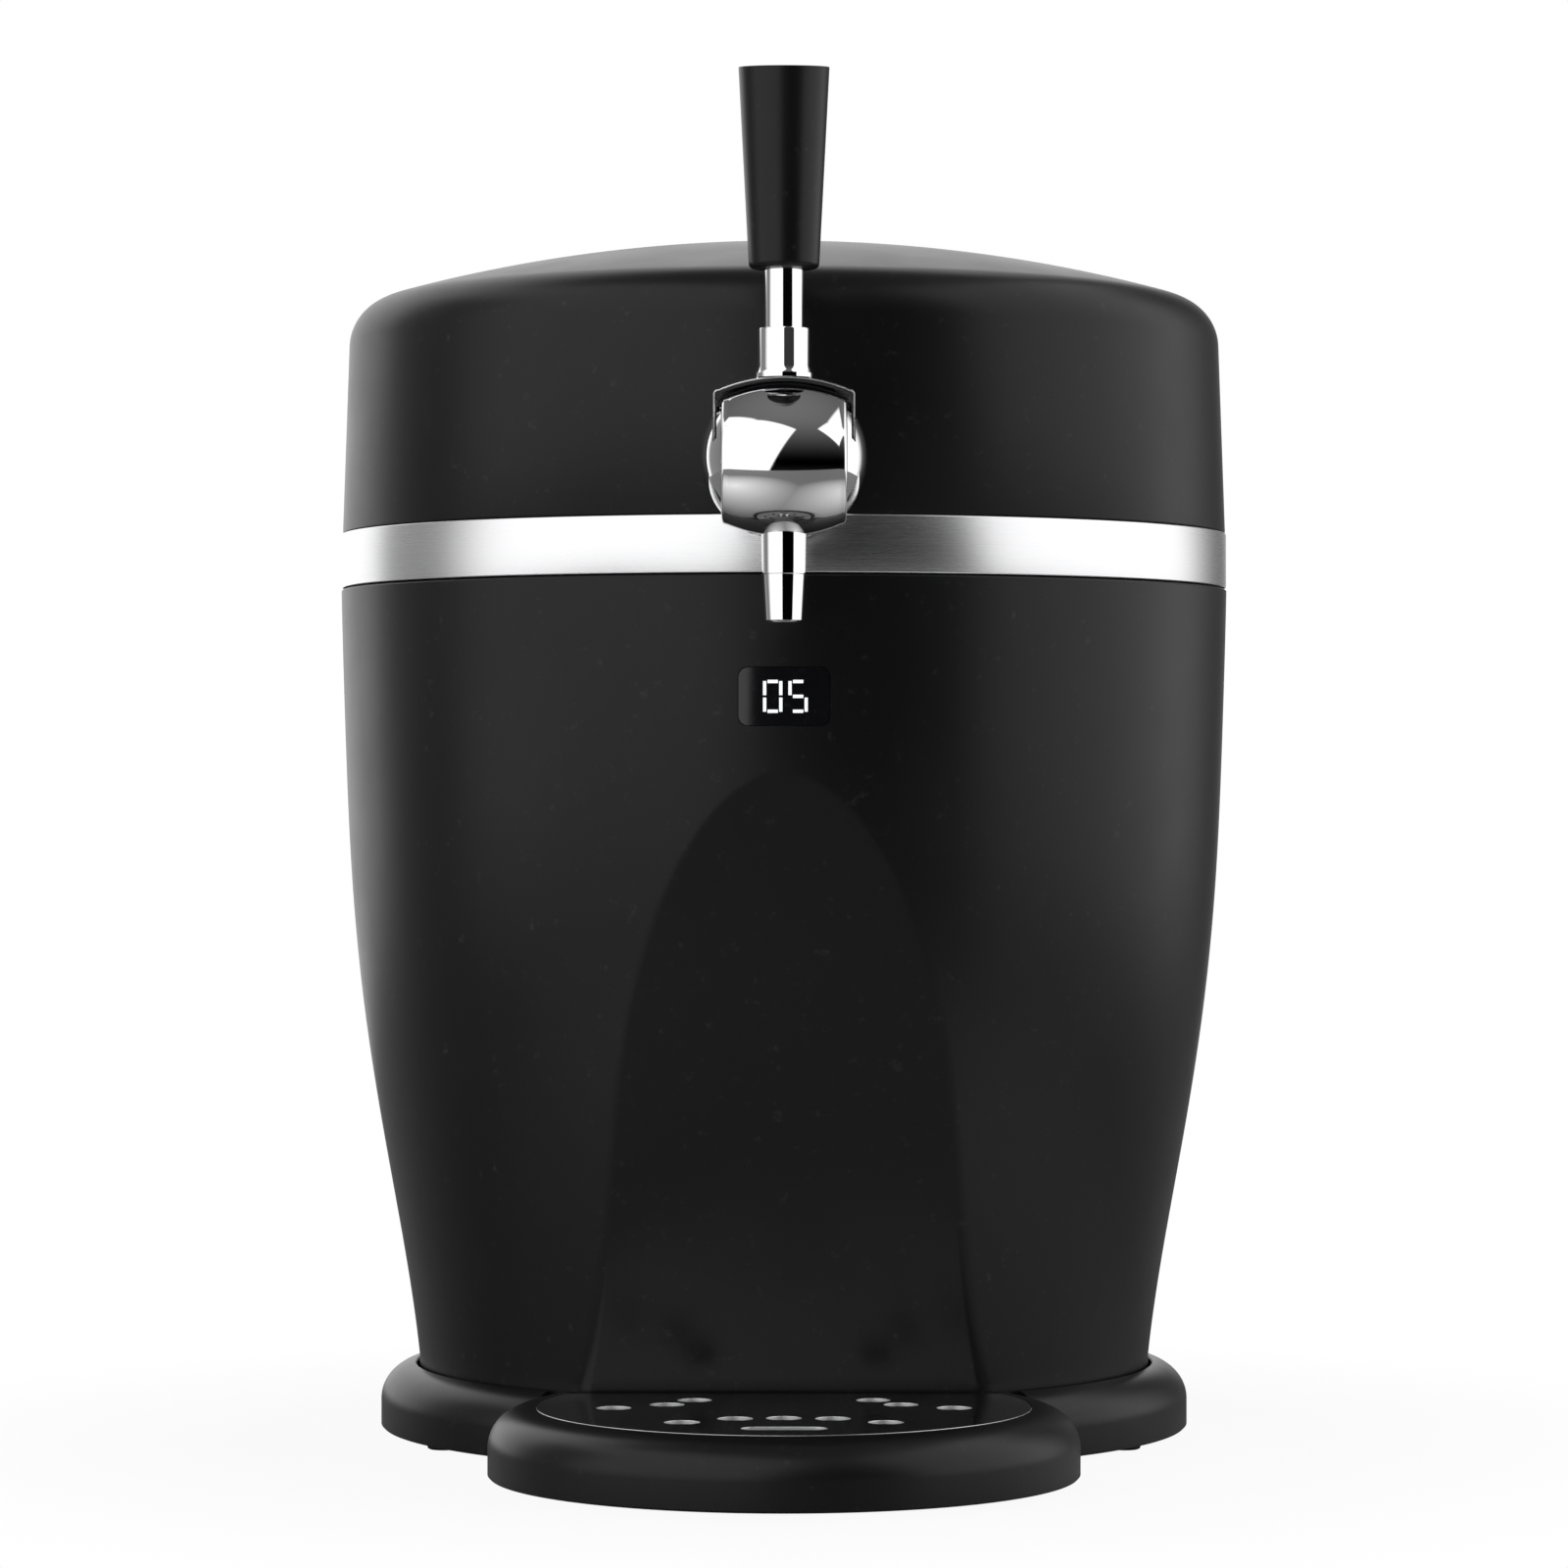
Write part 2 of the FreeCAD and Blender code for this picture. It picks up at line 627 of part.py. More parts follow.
def rounded_disc(radius, mid_y):
    """The base's section turned about an upright axis: straight side, rounded top."""
    side_top = BASE_Z + BASE_SIDE_H
    rise = BASE_H - BASE_SIDE_H
    flat_r = radius - RIM_REACH
    poles = [V(radius, 0, side_top), V(radius, 0, side_top + QUARTER_BEZIER * rise),
             V(flat_r + QUARTER_BEZIER * RIM_REACH, 0, BASE_TOP), V(flat_r, 0, BASE_TOP)]
    round_edge = Part.BezierCurve()
    round_edge.setPoles(poles)
    edges = [round_edge.toShape()]
    edges += chain([poles[-1], V(0, 0, BASE_TOP), V(0, 0, BASE_Z), V(radius, 0, BASE_Z), poles[0]])
    solid = turned(edges)
    solid.translate(V(0, mid_y, 0))
    return solid


def kept_floor(grow, low, high):
    """The plan of the body behind the tray, grown outwards."""
    disc = rod(KEEP_R + grow, high - low, V(0, 0, low))
    return disc.common(box(-BASE_R, BASE_R, -TRAY_BACK - grow, BASE_R, low, high))


def crowned_sector(half_w, mid_r, side_r, corner, from_deg, to_deg):
    """A barrel sector about the tap's pivot; degrees count from upright, forwards positive."""
    pivot = V(0, -NOSE_Y, NOSE_MID)
    low_left = pivot + V(-half_w, 0, 0)
    low_right = pivot + V(half_w, 0, 0)
    left = pivot + V(-half_w, 0, side_r - corner)
    right = pivot + V(half_w, 0, side_r - corner)
    left_top = pivot + V(corner - half_w, 0, side_r)
    right_top = pivot + V(half_w - corner, 0, side_r)
    edges = [Part.Arc(left_top, pivot + V(0, 0, mid_r), right_top).toShape()]
    edges += chain([right_top, right, low_right, low_left, left, left_top])
    face = Part.Face(Part.Wire(edges))
    face.rotate(pivot, RIGHT, from_deg)
    return face.revolve(pivot, RIGHT, to_deg - from_deg)


def screw(radius, length, head_r, head_h, seat, direction):
    """A pan-head screw: seat is under its head, and direction points to its tip."""
    head = rod(head_r, head_h, seat - direction * head_h, direction)
    slot = box(-head_r - PAST, head_r + PAST, -SLOT_HALF_W, SLOT_HALF_W, -head_h / 2, PAST)
    slot.Placement = FreeCAD.Placement(seat - direction * head_h, FreeCAD.Rotation(UP, direction * -1))
    return fuse([head, rod(radius, length, seat, direction)]).cut(slot)


# ---- base --------------------------------------------------------------------------

def tray_space(low, high):
    """What the tray takes out of the base."""
    disc = rod(TRAY_R + TRAY_GAP, high - low, V(0, -TRAY_Y, low))
    return disc.cut(kept_floor(-TRAY_GAP, low - PAST, high + PAST))


def base_ring():
    disc = rounded_disc(BASE_R, 0)
    bore = rod(RING_IN_R, BASE_H + 2 * PAST, V(0, 0, BASE_Z - PAST))
    rabbet = rod(BASE_R - RING_WALL, PLATE_T + PAST, V(0, 0, BASE_Z - PAST))
    channel_top = BASE_Z + BASE_SIDE_H
    channel = tube(BASE_R - RING_WALL, RING_IN_R + RING_WALL, channel_top - PLATE_TOP, V(0, 0, PLATE_TOP))
    ring = disc.cut(bore).cut(rabbet).cut(channel)
    posts = [rod(POST_R, channel_top - PLATE_TOP + EMBED, polar(post_pcr(), a, PLATE_TOP)) for a in BASE_SCREW_DEG]
    ring = fuse([ring] + posts)
    for angle in BASE_SCREW_DEG:
        ring = ring.cut(rod(BASE_SCREW_R + FIT, BASE_SCREW_L + TIP_ROOM, polar(post_pcr(), angle, PLATE_TOP - EMBED)))
    lobe = rod(TRAY_R + TRAY_GAP, BASE_H + 2 * PAST, V(0, -TRAY_Y, BASE_Z - PAST))
    return ring.cut(lobe)


def post_pcr():
    """Radius of the circle that the base's screws stand on."""
    return (BASE_R + RING_IN_R) / 2


def fan_corners():
    half = FAN_HOLE_PITCH / 2
    return [V(x, y, 0) for x in (-half, half) for y in (-half, half)]


def board_corners():
    half_w = BOARD_W / 2 - STANDOFF_R
    half_l = BOARD_L / 2 - STANDOFF_R
    return [V(BOARD_X + x, y, 0) for x in (-half_w, half_w) for y in (-half_l, half_l)]


def base_plate():
    plate = rod(BASE_R - RING_WALL - FIT, PLATE_T, V(0, 0, BASE_Z)).cut(tray_space(0, BASE_TOP))
    bosses = [rod(BOSS_R, FAN_LIFT, c + UP * PLATE_TOP) for c in fan_corners()]
    bosses += [rod(STANDOFF_R, BOARD_LIFT, c + UP * PLATE_TOP) for c in board_corners()]
    plate = fuse([plate] + bosses)
    for corner in fan_corners():
        plate = plate.cut(rod(FAN_SCREW_R + FIT, FAN_LIFT + PAST, corner + UP * (BASE_Z + SKIN)))
    for angle in BASE_SCREW_DEG:
        plate = plate.cut(rod(BASE_SCREW_R + FIT, PLATE_T + 2 * PAST, polar(post_pcr(), angle, BASE_Z - PAST)))
        plate = plate.cut(rod(BASE_SCREW_HEAD_R + FIT, BASE_SCREW_HEAD_H + PAST,
                              polar(post_pcr(), angle, BASE_Z - PAST)))
    rows = int(INTAKE_R // INTAKE_PITCH)
    for row in range(-rows, rows + 1):
        y = row * INTAKE_PITCH
        half = math.sqrt(INTAKE_R ** 2 - y ** 2) - INTAKE_SLOT_W
        slot = box(-half, half, y - INTAKE_SLOT_W / 2, y + INTAKE_SLOT_W / 2, 0, PLATE_TOP + PAST)
        plate = plate.cut(slot)
    return plate


def rubber_feet():
    feet = [rod(FOOT_R, FOOT_OUT, polar(FOOT_PCR, angle)) for angle in FOOT_DEG]
    return Part.makeCompound(feet)


def base_screws():
    screws = [screw(BASE_SCREW_R, BASE_SCREW_L, BASE_SCREW_HEAD_R, BASE_SCREW_HEAD_H,
                    polar(post_pcr(), angle, BASE_Z + BASE_SCREW_HEAD_H), UP) for angle in BASE_SCREW_DEG]
    return Part.makeCompound(screws)


# ---- body --------------------------------------------------------------------------

def display_block(grow, depth, y_past=PAST):
    """The display window's outline as a block that reaches depth behind the shell's front."""
    front = SHELL_R + y_past
    return rounded_box_y(DISPLAY_W / 2 + grow, DISPLAY_H / 2 + grow, DISPLAY_CORNER, DISPLAY_MID,
                         -front, -SHELL_R + depth)


def vent_slots():
    """The cutters of the exhaust slots, beside the rear pocket."""
    slots = []
    for side in (-1, 1):
        for index in range(VENT_COUNT):
            angle = 90 + side * (VENT_FIRST_DEG + index * VENT_STEP_DEG)
            slot = box(SHELL_FOOT_R - VENT_REACH, SHELL_R, -VENT_W / 2, VENT_W / 2,
                       POCKET_MID - VENT_H / 2, POCKET_MID + VENT_H / 2)
            slot.rotate(V(0, 0, 0), UP, angle)
            slots.append(slot)
    return slots


def inlet_cutout(grow):
    half_w = INLET_W / 2 - INLET_FLANGE + grow
    half_h = INLET_H / 2 - INLET_FLANGE + grow
    return box(INLET_X - half_w, INLET_X + half_w, POCKET_Y - INLET_D, POCKET_Y + FIT,
               POCKET_MID - half_h, POCKET_MID + half_h)


def switch_cutout(grow):
    half_w = SWITCH_W / 2 - SWITCH_RIM + grow
    half_h = SWITCH_H / 2 - SWITCH_RIM + grow
    return box(SWITCH_X - half_w, SWITCH_X + half_w, POCKET_Y - SWITCH_D, POCKET_Y + FIT,
               POCKET_MID - half_h, POCKET_MID + half_h)


def bracket_screw_seats():
    z = HINGE_Z - BRACKET_SCREW_DROP
    return [V(x, HINGE_FACE_Y, z) for x in (-HINGE_SCREW_X, HINGE_SCREW_X)]


def leaf_screw_seats():
    z = HINGE_Z + LEAF_SCREW_RISE
    return [V(x, HINGE_FACE_Y, z) for x in (-HINGE_SCREW_X, HINGE_SCREW_X)]


def lower_shell():
    outer = body_form(0, PLATE_TOP, SPLIT_Z)
    inner = body_form(SHELL_WALL, PLATE_TOP - PAST, SPLIT_Z + PAST)
    shell = outer.cut(inner)
    shell = shell.cut(display_block(FIT, SHELL_WALL + PAST))
    shell = shell.cut(inlet_cutout(FIT)).cut(switch_cutout(FIT))
    for slot in vent_slots():
        shell = shell.cut(slot)
    for seat in bracket_screw_seats():
        reach = HINGE_FACE + SHELL_WALL + PAST
        shell = shell.cut(rod(HINGE_SCREW_R + FIT, reach, seat - REAR * reach, REAR))
    return shell


def top_rim():
    low = RIM_Z
    disc = barrel(FOAM_IN, low, RIM_TOP)
    return disc.cut(rod(KEG_WELL_R, RIM_T + 2 * PAST, V(0, 0, low - PAST)))


def keg_liner():
    cup = rod(LINER_OUT_R, RIM_Z - LINER_Z, V(0, 0, LINER_Z))
    return cup.cut(rod(KEG_WELL_R, RIM_Z, V(0, 0, WELL_FLOOR)))


def lead_route():
    """The display lead's way: from the power board up through the foam to the control board."""
    x = BOARD_X - BOARD_W / 2 + LEAD_INSET
    foot_y = -BOARD_L / 2 + LEAD_INSET
    board_y = -SHELL_R + DISPLAY_T + CONTROL_GAP + BOARD_T + 2 * LEAD_R
    return [V(x, foot_y, BOARD_Z + BOARD_T + LEAD_R + LEAD_START), V(x, foot_y - LEAD_RUN, BOARD_Z + LEAD_RISE),
            V(x, foot_y - LEAD_RUN, DISPLAY_MID), V(CONTROL_W / 2 - LEAD_END_INSET, board_y, DISPLAY_MID)]


def probe_place():
    return V(-LINER_OUT_R - PROBE_R - FIT, 0, PROBE_Z)


def control_pocket():
    """Room in the foam for the window and the board behind it."""
    half_w = CONTROL_W / 2 + CONTROL_ROOM
    half_h = CONTROL_H / 2 + CONTROL_ROOM
    depth = DISPLAY_T + CONTROL_GAP + BOARD_T + 4 * LEAD_R
    return box(-half_w, half_w, -SHELL_R - PAST, -SHELL_R + depth, DISPLAY_MID - half_h, DISPLAY_MID + half_h)


def foam_jacket():
    foam = body_form(FOAM_IN, DECK_TOP + FIT, RIM_Z - FIT)
    foam = foam.cut(rod(LINER_OUT_R + FIT, BODY_H, V(0, 0, LINER_Z - FIT)))
    foam = foam.cut(rod(COLD_PLATE_R + FIT, BODY_H, V(0, 0, 0)))
    foam = foam.cut(control_pocket())
    foam = foam.cut(pipe(lead_route(), LEAD_R + FIT))
    return foam.cut(rod(PROBE_R + FIT, PROBE_L + 2 * FIT, probe_place() - UP * FIT))


def chamber_deck():
    half = SINK_SIZE / 2 + DECK_GAP
    deck = body_form(FOAM_IN, DECK_Z, DECK_TOP)
    deck = deck.cut(box(-half, half, -half, half, DECK_Z - PAST, DECK_TOP + PAST))
    return deck.cut(pipe(lead_route(), LEAD_R + FIT))


def temperature_probe():
    return rod(PROBE_R, PROBE_L, probe_place())


# ---- cooling stack -----------------------------------------------------------------

def fan_frame():
    half = FAN_SIZE / 2
    frame = box(-half, half, -half, half, FAN_Z, FAN_Z + FAN_T)
    frame = frame.cut(rod(FAN_BORE_R, FAN_T + 2 * PAST, V(0, 0, FAN_Z - PAST)))
    motor = rod(FAN_HUB_R, FAN_BACK_T, V(0, 0, FAN_Z))
    struts = []
    for angle in (0, 90, 180, 270):
        strut = box(FAN_HUB_R - EMBED, FAN_BORE_R + EMBED, -FAN_STRUT_HALF_W, FAN_STRUT_HALF_W,
                    FAN_Z, FAN_Z + FAN_BACK_T)
        strut.rotate(V(0, 0, 0), UP, angle)
        struts.append(strut)
    frame = fuse([frame, motor] + struts)
    frame = frame.cut(rod(FAN_SHAFT_R + RUN, FAN_BACK_T + PAST, V(0, 0, FAN_Z + SKIN)))
    for corner in fan_corners():
        frame = frame.cut(rod(FAN_SCREW_R + FIT, FAN_T + 2 * PAST, corner + UP * (FAN_Z - PAST)))
        head_z = FAN_Z + FAN_T - FAN_SCREW_HEAD_H
        frame = frame.cut(rod(FAN_SCREW_HEAD_R + FIT, FAN_SCREW_HEAD_H + PAST, corner + UP * head_z))
    return frame


def fan_rotor():
    low = FAN_Z + FAN_BACK_T + ROTOR_GAP
    high = FAN_Z + FAN_T - ROTOR_SET
    tip = FAN_BORE_R - FAN_TIP_GAP
    hub = rod(FAN_HUB_R, high - low, V(0, 0, low))
    blades = []
    for index in range(FAN_BLADES):
        blade = box(FAN_HUB_R - 2 * EMBED, FAN_BORE_R, -FAN_BLADE_T / 2, FAN_BLADE_T / 2,
                    -FAN_BLADE_W / 2, FAN_BLADE_W / 2)
        blade.rotate(V(0, 0, 0), RIGHT, FAN_BLADE_DEG)
        blade.translate(V(0, 0, (low + high) / 2))
        blade.rotate(V(0, 0, 0), UP, index * FULL_TURN / FAN_BLADES)
        blades.append(blade)
    rotor = fuse([hub] + blades).common(rod(tip, high - low, V(0, 0, low)))
    return rotor.cut(rod(FAN_SHAFT_R, FAN_SHAFT_L, V(0, 0, FAN_Z + FAN_SHAFT_UP)))


def fan_shaft():
    return rod(FAN_SHAFT_R, FAN_SHAFT_L, V(0, 0, FAN_Z + FAN_SHAFT_UP))


def fan_screws():
    seat = FAN_Z + FAN_T - FAN_SCREW_HEAD_H
    length = seat - BASE_Z - TIP_ROOM
    screws = [screw(FAN_SCREW_R, length, FAN_SCREW_HEAD_R, FAN_SCREW_HEAD_H, c + UP * seat, DOWN)
              for c in fan_corners()]
    return Part.makeCompound(screws)


def heat_sink():
    half = SINK_SIZE / 2
    pieces = [box(-half, half, -half, half, SINK_BASE_Z, PELTIER_Z)]
    pitch = (SINK_SIZE - SINK_FIN_T) / (SINK_FINS - 1)
    for index in range(SINK_FINS):
        x = -half + index * pitch
        pieces.append(box(x, x + SINK_FIN_T, -half, half, SINK_Z, SINK_BASE_Z))
    sink = fuse(pieces)
    for corner in sink_corners():
        sink = sink.cut(rod(SINK_SCREW_R + FIT, SINK_BASE_T + PAST, corner + UP * (SINK_BASE_Z + SKIN)))
    return sink


def sink_corners():
    half = SINK_SCREW_PITCH / 2
    return [V(x, y, 0) for x in (-half, half) for y in (-half, half)]


def peltier_module():
    half = PELTIER_SIZE / 2
    return box(-half, half, -half, half, PELTIER_Z, COLD_Z)


def cold_plate():
    plate = rod(COLD_PLATE_R, COLD_PLATE_T, V(0, 0, COLD_Z))
    for corner in sink_corners():
        plate = plate.cut(rod(SINK_SCREW_R + FIT, COLD_PLATE_T + 2 * PAST, corner + UP * (COLD_Z - PAST)))
        plate = plate.cut(rod(SINK_SCREW_HEAD_R + FIT, SINK_SEAT_D + PAST, corner + UP * (LINER_Z - SINK_SEAT_D)))
    return plate


def sink_screws():
    seat = LINER_Z - SINK_SEAT_D
    length = seat - SINK_BASE_Z - TIP_ROOM
    screws = [screw(SINK_SCREW_R, length, SINK_SCREW_HEAD_R, SINK_SCREW_HEAD_H, c + UP * seat, DOWN)
              for c in sink_corners()]
    return Part.makeCompound(screws)


# ---- electronics -------------------------------------------------------------------

def power_board():
    half_w = BOARD_W / 2
    half_l = BOARD_L / 2
    return box(BOARD_X - half_w, BOARD_X + half_w, -half_l, half_l, BOARD_Z, BOARD_Z + BOARD_T)


def power_parts():
    """Transformer, choke, heat tab and two capacitors, each a solid on the board."""
    top = BOARD_Z + BOARD_T
    parts = [box(BOARD_X + x0, BOARD_X + x1, y0, y1, top, top + tall) for x0, x1, y0, y1, tall in POWER_BLOCKS]
    for x in (-CAPACITOR_X, CAPACITOR_X):
        parts.append(rod(CAPACITOR_R, CAPACITOR_H, V(BOARD_X + x, CAPACITOR_Y, top)))
    return Part.makeCompound(parts)


def power_lead():
    """The wire from the inlet to the power board."""
    z = BOARD_Z + BOARD_T + LEAD_R
    inlet_rear = POCKET_Y - INLET_D
    run_y = inlet_rear - MAINS_RUN
    return pipe([V(INLET_X, inlet_rear, POCKET_MID), V(INLET_X, run_y, POCKET_MID),
                 V(INLET_X + MAINS_SIDE, run_y, z + MAINS_RISE),
                 V(BOARD_X, BOARD_L / 2 - MAINS_END_INSET, z + LEAD_START)], LEAD_R)


def display_lead():
    return pipe(lead_route(), LEAD_R)


def display_window():
    block = display_block(0, DISPLAY_T + PAST)
    layer = barrel(0, BASE_TOP, SPLIT_Z).cut(barrel(DISPLAY_T, BASE_TOP, SPLIT_Z))
    return block.common(layer).cut(digit_prisms(SHELL_R, FIT / 3).common(digit_layer(FIT / 3)))


def digit_layer(grow):
    outer = barrel(-0.05, BASE_TOP, SPLIT_Z)
    return outer.cut(barrel(DIGIT_DEPTH + grow, BASE_TOP, SPLIT_Z))


def segment_boxes():
    """The seven strokes of a digit, as corners in its own plane with the middle at 0, 0."""
    w = DIGIT_W / 2
    h = DIGIT_H / 2
    s = DIGIT_STROKE
    g = DIGIT_GAP
    return {"top": (-w + s + g, h - s, w - s - g, h), "middle": (-w + s + g, -s / 2, w - s - g, s / 2),
            "bottom": (-w + s + g, -h, w - s - g, -h + s), "left_up": (-w, g, -w + s, h - g),
            "left_low": (-w, -h + g, -w + s, -g), "right_up": (w - s, g, w, h - g),
            "right_low": (w - s, -h + g, w, -g)}


def digit_prisms(reach, grow):
    """The lit strokes of the number 05."""
    zero = ("top", "bottom", "left_up", "left_low", "right_up", "right_low")
    five = ("top", "middle", "bottom", "left_up", "right_low")
    strokes = segment_boxes()
    prisms = []
    for names, side in ((zero, -1), (five, 1)):
        mid_x = DIGIT_OFFSET + side * DIGIT_PITCH / 2
        for name in names:
            x0, z0, x1, z1 = strokes[name]
            prisms.append(box(mid_x + x0 - grow, mid_x + x1 + grow, -reach - EMBED, -reach + PAST,
                              DISPLAY_MID + z0 - grow, DISPLAY_MID + z1 + grow))
    return Part.makeCompound(prisms)


def display_digits():
    return digit_prisms(SHELL_R, 0).common(digit_layer(0))


def control_board():
    front = -SHELL_R + DISPLAY_T + CONTROL_GAP
    half_w = CONTROL_W / 2
    board = box(-half_w, half_w, front, front + BOARD_T, DISPLAY_MID - CONTROL_H / 2, DISPLAY_MID + CONTROL_H / 2)
    lamp_half = DISPLAY_W / 2 - LAMP_INSET
    lamp = box(-lamp_half, lamp_half, front - LAMP_T, front, DISPLAY_MID - LAMP_HALF_H, DISPLAY_MID + LAMP_HALF_H)
    return fuse([board, lamp])


def mains_inlet():
    half_w = INLET_W / 2
    half_h = INLET_H / 2
    flange = rounded_box_y(half_w, half_h, INLET_CORNER, POCKET_MID, POCKET_Y, POCKET_Y + INLET_FRONT, INLET_X)
    body = fuse([flange, inlet_cutout(0)])
    front = POCKET_Y + INLET_FRONT
    socket = rounded_box_y(SOCKET_W / 2, SOCKET_H / 2, SOCKET_CORNER, POCKET_MID, front - SOCKET_D, front + PAST,
                           INLET_X)
    return body.cut(socket)


def inlet_pins():
    back = POCKET_Y + INLET_FRONT - SOCKET_D
    pins = []
    for x, z in ((-PIN_PITCH, -PIN_SPLIT), (0.0, PIN_SPLIT), (PIN_PITCH, -PIN_SPLIT)):
        pins.append(box(INLET_X + x - PIN_T / 2, INLET_X + x + PIN_T / 2, back, back + PIN_L,
                        POCKET_MID + z - PIN_W / 2, POCKET_MID + z + PIN_W / 2))
    return Part.makeCompound(pins)


def rocker_room():
    """The hole in the switch frame that the rocker tilts in."""
    half_w = SWITCH_W / 2 - SWITCH_RIM - ROCKER_WALL
    half_h = SWITCH_H / 2 - SWITCH_RIM - ROCKER_WALL
    return box(SWITCH_X - half_w, SWITCH_X + half_w, POCKET_Y - SWITCH_D + ROCKER_FLOOR, POCKET_Y + PAST,
               POCKET_MID - half_h, POCKET_MID + half_h)


def rocker_axis():
    return V(SWITCH_X, POCKET_Y - ROCKER_SINK, POCKET_MID)


def switch_frame():
    flange = rounded_box_y(SWITCH_W / 2, SWITCH_H / 2, SWITCH_CORNER, POCKET_MID, POCKET_Y, POCKET_Y + SWITCH_RIM,
                           SWITCH_X)
    frame = fuse([flange, switch_cutout(0)]).cut(rocker_room())
    half = SWITCH_W / 2 - SWITCH_RIM - ROCKER_PIN_END
    return frame.cut(rod(ROCKER_PIN_R + RUN, 2 * half, rocker_axis() - RIGHT * half, RIGHT))


def power_rocker():
    """A rocker with two pressing faces that meet in a shallow valley, on a cross pin."""
    half_w = SWITCH_W / 2 - SWITCH_RIM - ROCKER_WALL - ROCKER_SIDE_GAP
    half_h = SWITCH_H / 2 - SWITCH_RIM - ROCKER_WALL - ROCKER_END_GAP
    root_h = half_h * ROCKER_ROOT_SHARE
    crest = ROCKER_RISE + ROCKER_VALLEY
    axis = rocker_axis()
    section = ((-ROCKER_ROOT, -root_h), (-ROCKER_ROOT, root_h), (ROCKER_LIP, half_h), (crest, half_h),
               (ROCKER_RISE, 0), (crest, -half_h), (ROCKER_LIP, -half_h))
    rocker = extruded([axis + V(-half_w, y, z) for y, z in section], RIGHT * (2 * half_w))
    pin_half = SWITCH_W / 2 - SWITCH_RIM - ROCKER_PIN_END - ROCKER_PIN_PLAY
    rocker = fuse([rocker, rod(ROCKER_PIN_R, 2 * pin_half, axis - RIGHT * pin_half, RIGHT)])
    rocker.rotate(axis, RIGHT, ROCKER_TILT)
    return rocker


# ---- hinge -------------------------------------------------------------------------

def knuckle(x0, x1):
    return rod(KNUCKLE_R, x1 - x0, V(x0, HINGE_Y, HINGE_Z), RIGHT)


def screw_cut(seat):
    """A screw's clearance through a hinge plate and the wall behind it."""
    reach = HINGE_FACE + BRACKET_ROOT + PAST
    return rod(HINGE_SCREW_R + FIT, reach + EMBED, seat - REAR * reach, REAR)


def pin_hole():
    reach = HINGE_HALF_W + PAST
    return rod(HINGE_PIN_R + RUN, 2 * reach, V(-reach, HINGE_Y, HINGE_Z), RIGHT)


def hinge_bracket():
    inner = LEAF_HALF_W + LEAF_PLAY
    low = HINGE_Z - BRACKET_DROP
    root = HINGE_ROOT_Y
    back = HINGE_Y + KNUCKLE_R
    near = HINGE_Y - KNUCKLE_R
    pieces = [box(-HINGE_HALF_W, HINGE_HALF_W, root, HINGE_FACE_Y, low, HINGE_Z - BRACKET_PLATE_GAP)]
    for x0 in (-HINGE_HALF_W, inner):
        section = ((root, low), (HINGE_FACE_Y, low), (back, HINGE_Z - BRACKET_BACK_DROP), (back, HINGE_Z),
                   (near, HINGE_Z), (near, HINGE_Z - BRACKET_INNER_DROP), (root, HINGE_Z - BRACKET_ROOT_DROP))
        pieces.append(extruded([V(x0, y, z) for y, z in section], RIGHT * (HINGE_HALF_W - inner)))
        pieces.append(knuckle(x0, x0 + HINGE_HALF_W - inner))
    bracket = fuse(pieces).cut(barrel(0, 0, SPLIT_Z)).cut(pin_hole())
    for seat in bracket_screw_seats():
        bracket = bracket.cut(screw_cut(seat))
    return bracket


def hinge_leaf():
    half = LEAF_HALF_W
    high = HINGE_Z + LEAF_RISE
    root = HINGE_ROOT_Y
    back = HINGE_Y + KNUCKLE_R
    near = HINGE_Y - KNUCKLE_R
    section = ((near, HINGE_Z), (back, HINGE_Z), (back, HINGE_Z + LEAF_BACK_RISE),
               (HINGE_FACE_Y, HINGE_Z + LEAF_SLOPE_RISE), (HINGE_FACE_Y, high), (root, high),
               (root, HINGE_Z + LEAF_ROOT_RISE), (near, HINGE_Z + LEAF_INNER_RISE))
    leaf = fuse([extruded([V(-half, y, z) for y, z in section], RIGHT * (2 * half)), knuckle(-half, half)])
    leaf = leaf.cut(lid_outside()).cut(pin_hole())
    for seat in leaf_screw_seats():
        leaf = leaf.cut(screw_cut(seat))
    return leaf


def hinge_pin():
    return rod(HINGE_PIN_R, 2 * HINGE_HALF_W, V(-HINGE_HALF_W, HINGE_Y, HINGE_Z), RIGHT)


def bracket_screws():
    length = HINGE_FACE + SHELL_WALL
    return Part.makeCompound([screw(HINGE_SCREW_R, length, HINGE_SCREW_HEAD_R, HINGE_SCREW_HEAD_H, seat,
                                    REAR * -1) for seat in bracket_screw_seats()])


def leaf_screws():
    length = HINGE_FACE + LID_WALL
    return Part.makeCompound([screw(HINGE_SCREW_R, length, HINGE_SCREW_HEAD_R, HINGE_SCREW_HEAD_H, seat,
                                    REAR * -1) for seat in leaf_screw_seats()])


# ---- lid ---------------------------------------------------------------------------

def shank_hole(grow=FIT):
    """The way of the tap's shank through the flange, the lid and the liner."""
    return rod(SHANK_R + grow, LID_R, V(0, -FLANGE_FRONT_Y - PAST, BALL_MID), REAR)


def lid_shell():
    outer = lid_form(0, BAND_TOP)
    inner = lid_form(LID_WALL, BAND_TOP - PAST)
    skirt = tube(SKIRT_R, SKIRT_IN_R, BAND_TOP - LID_BOTTOM + SKIRT_LAP, V(0, 0, LID_BOTTOM))
    shell = fuse([outer.cut(inner), skirt]).cut(shank_hole())
    for seat in leaf_screw_seats():
        shell = shell.cut(screw_cut(seat))
    return shell


def lid_band():
    return tube(BAND_R, BAND_R - BAND_T, BAND_TOP - LID_BOTTOM - FIT, V(0, 0, LID_BOTTOM))


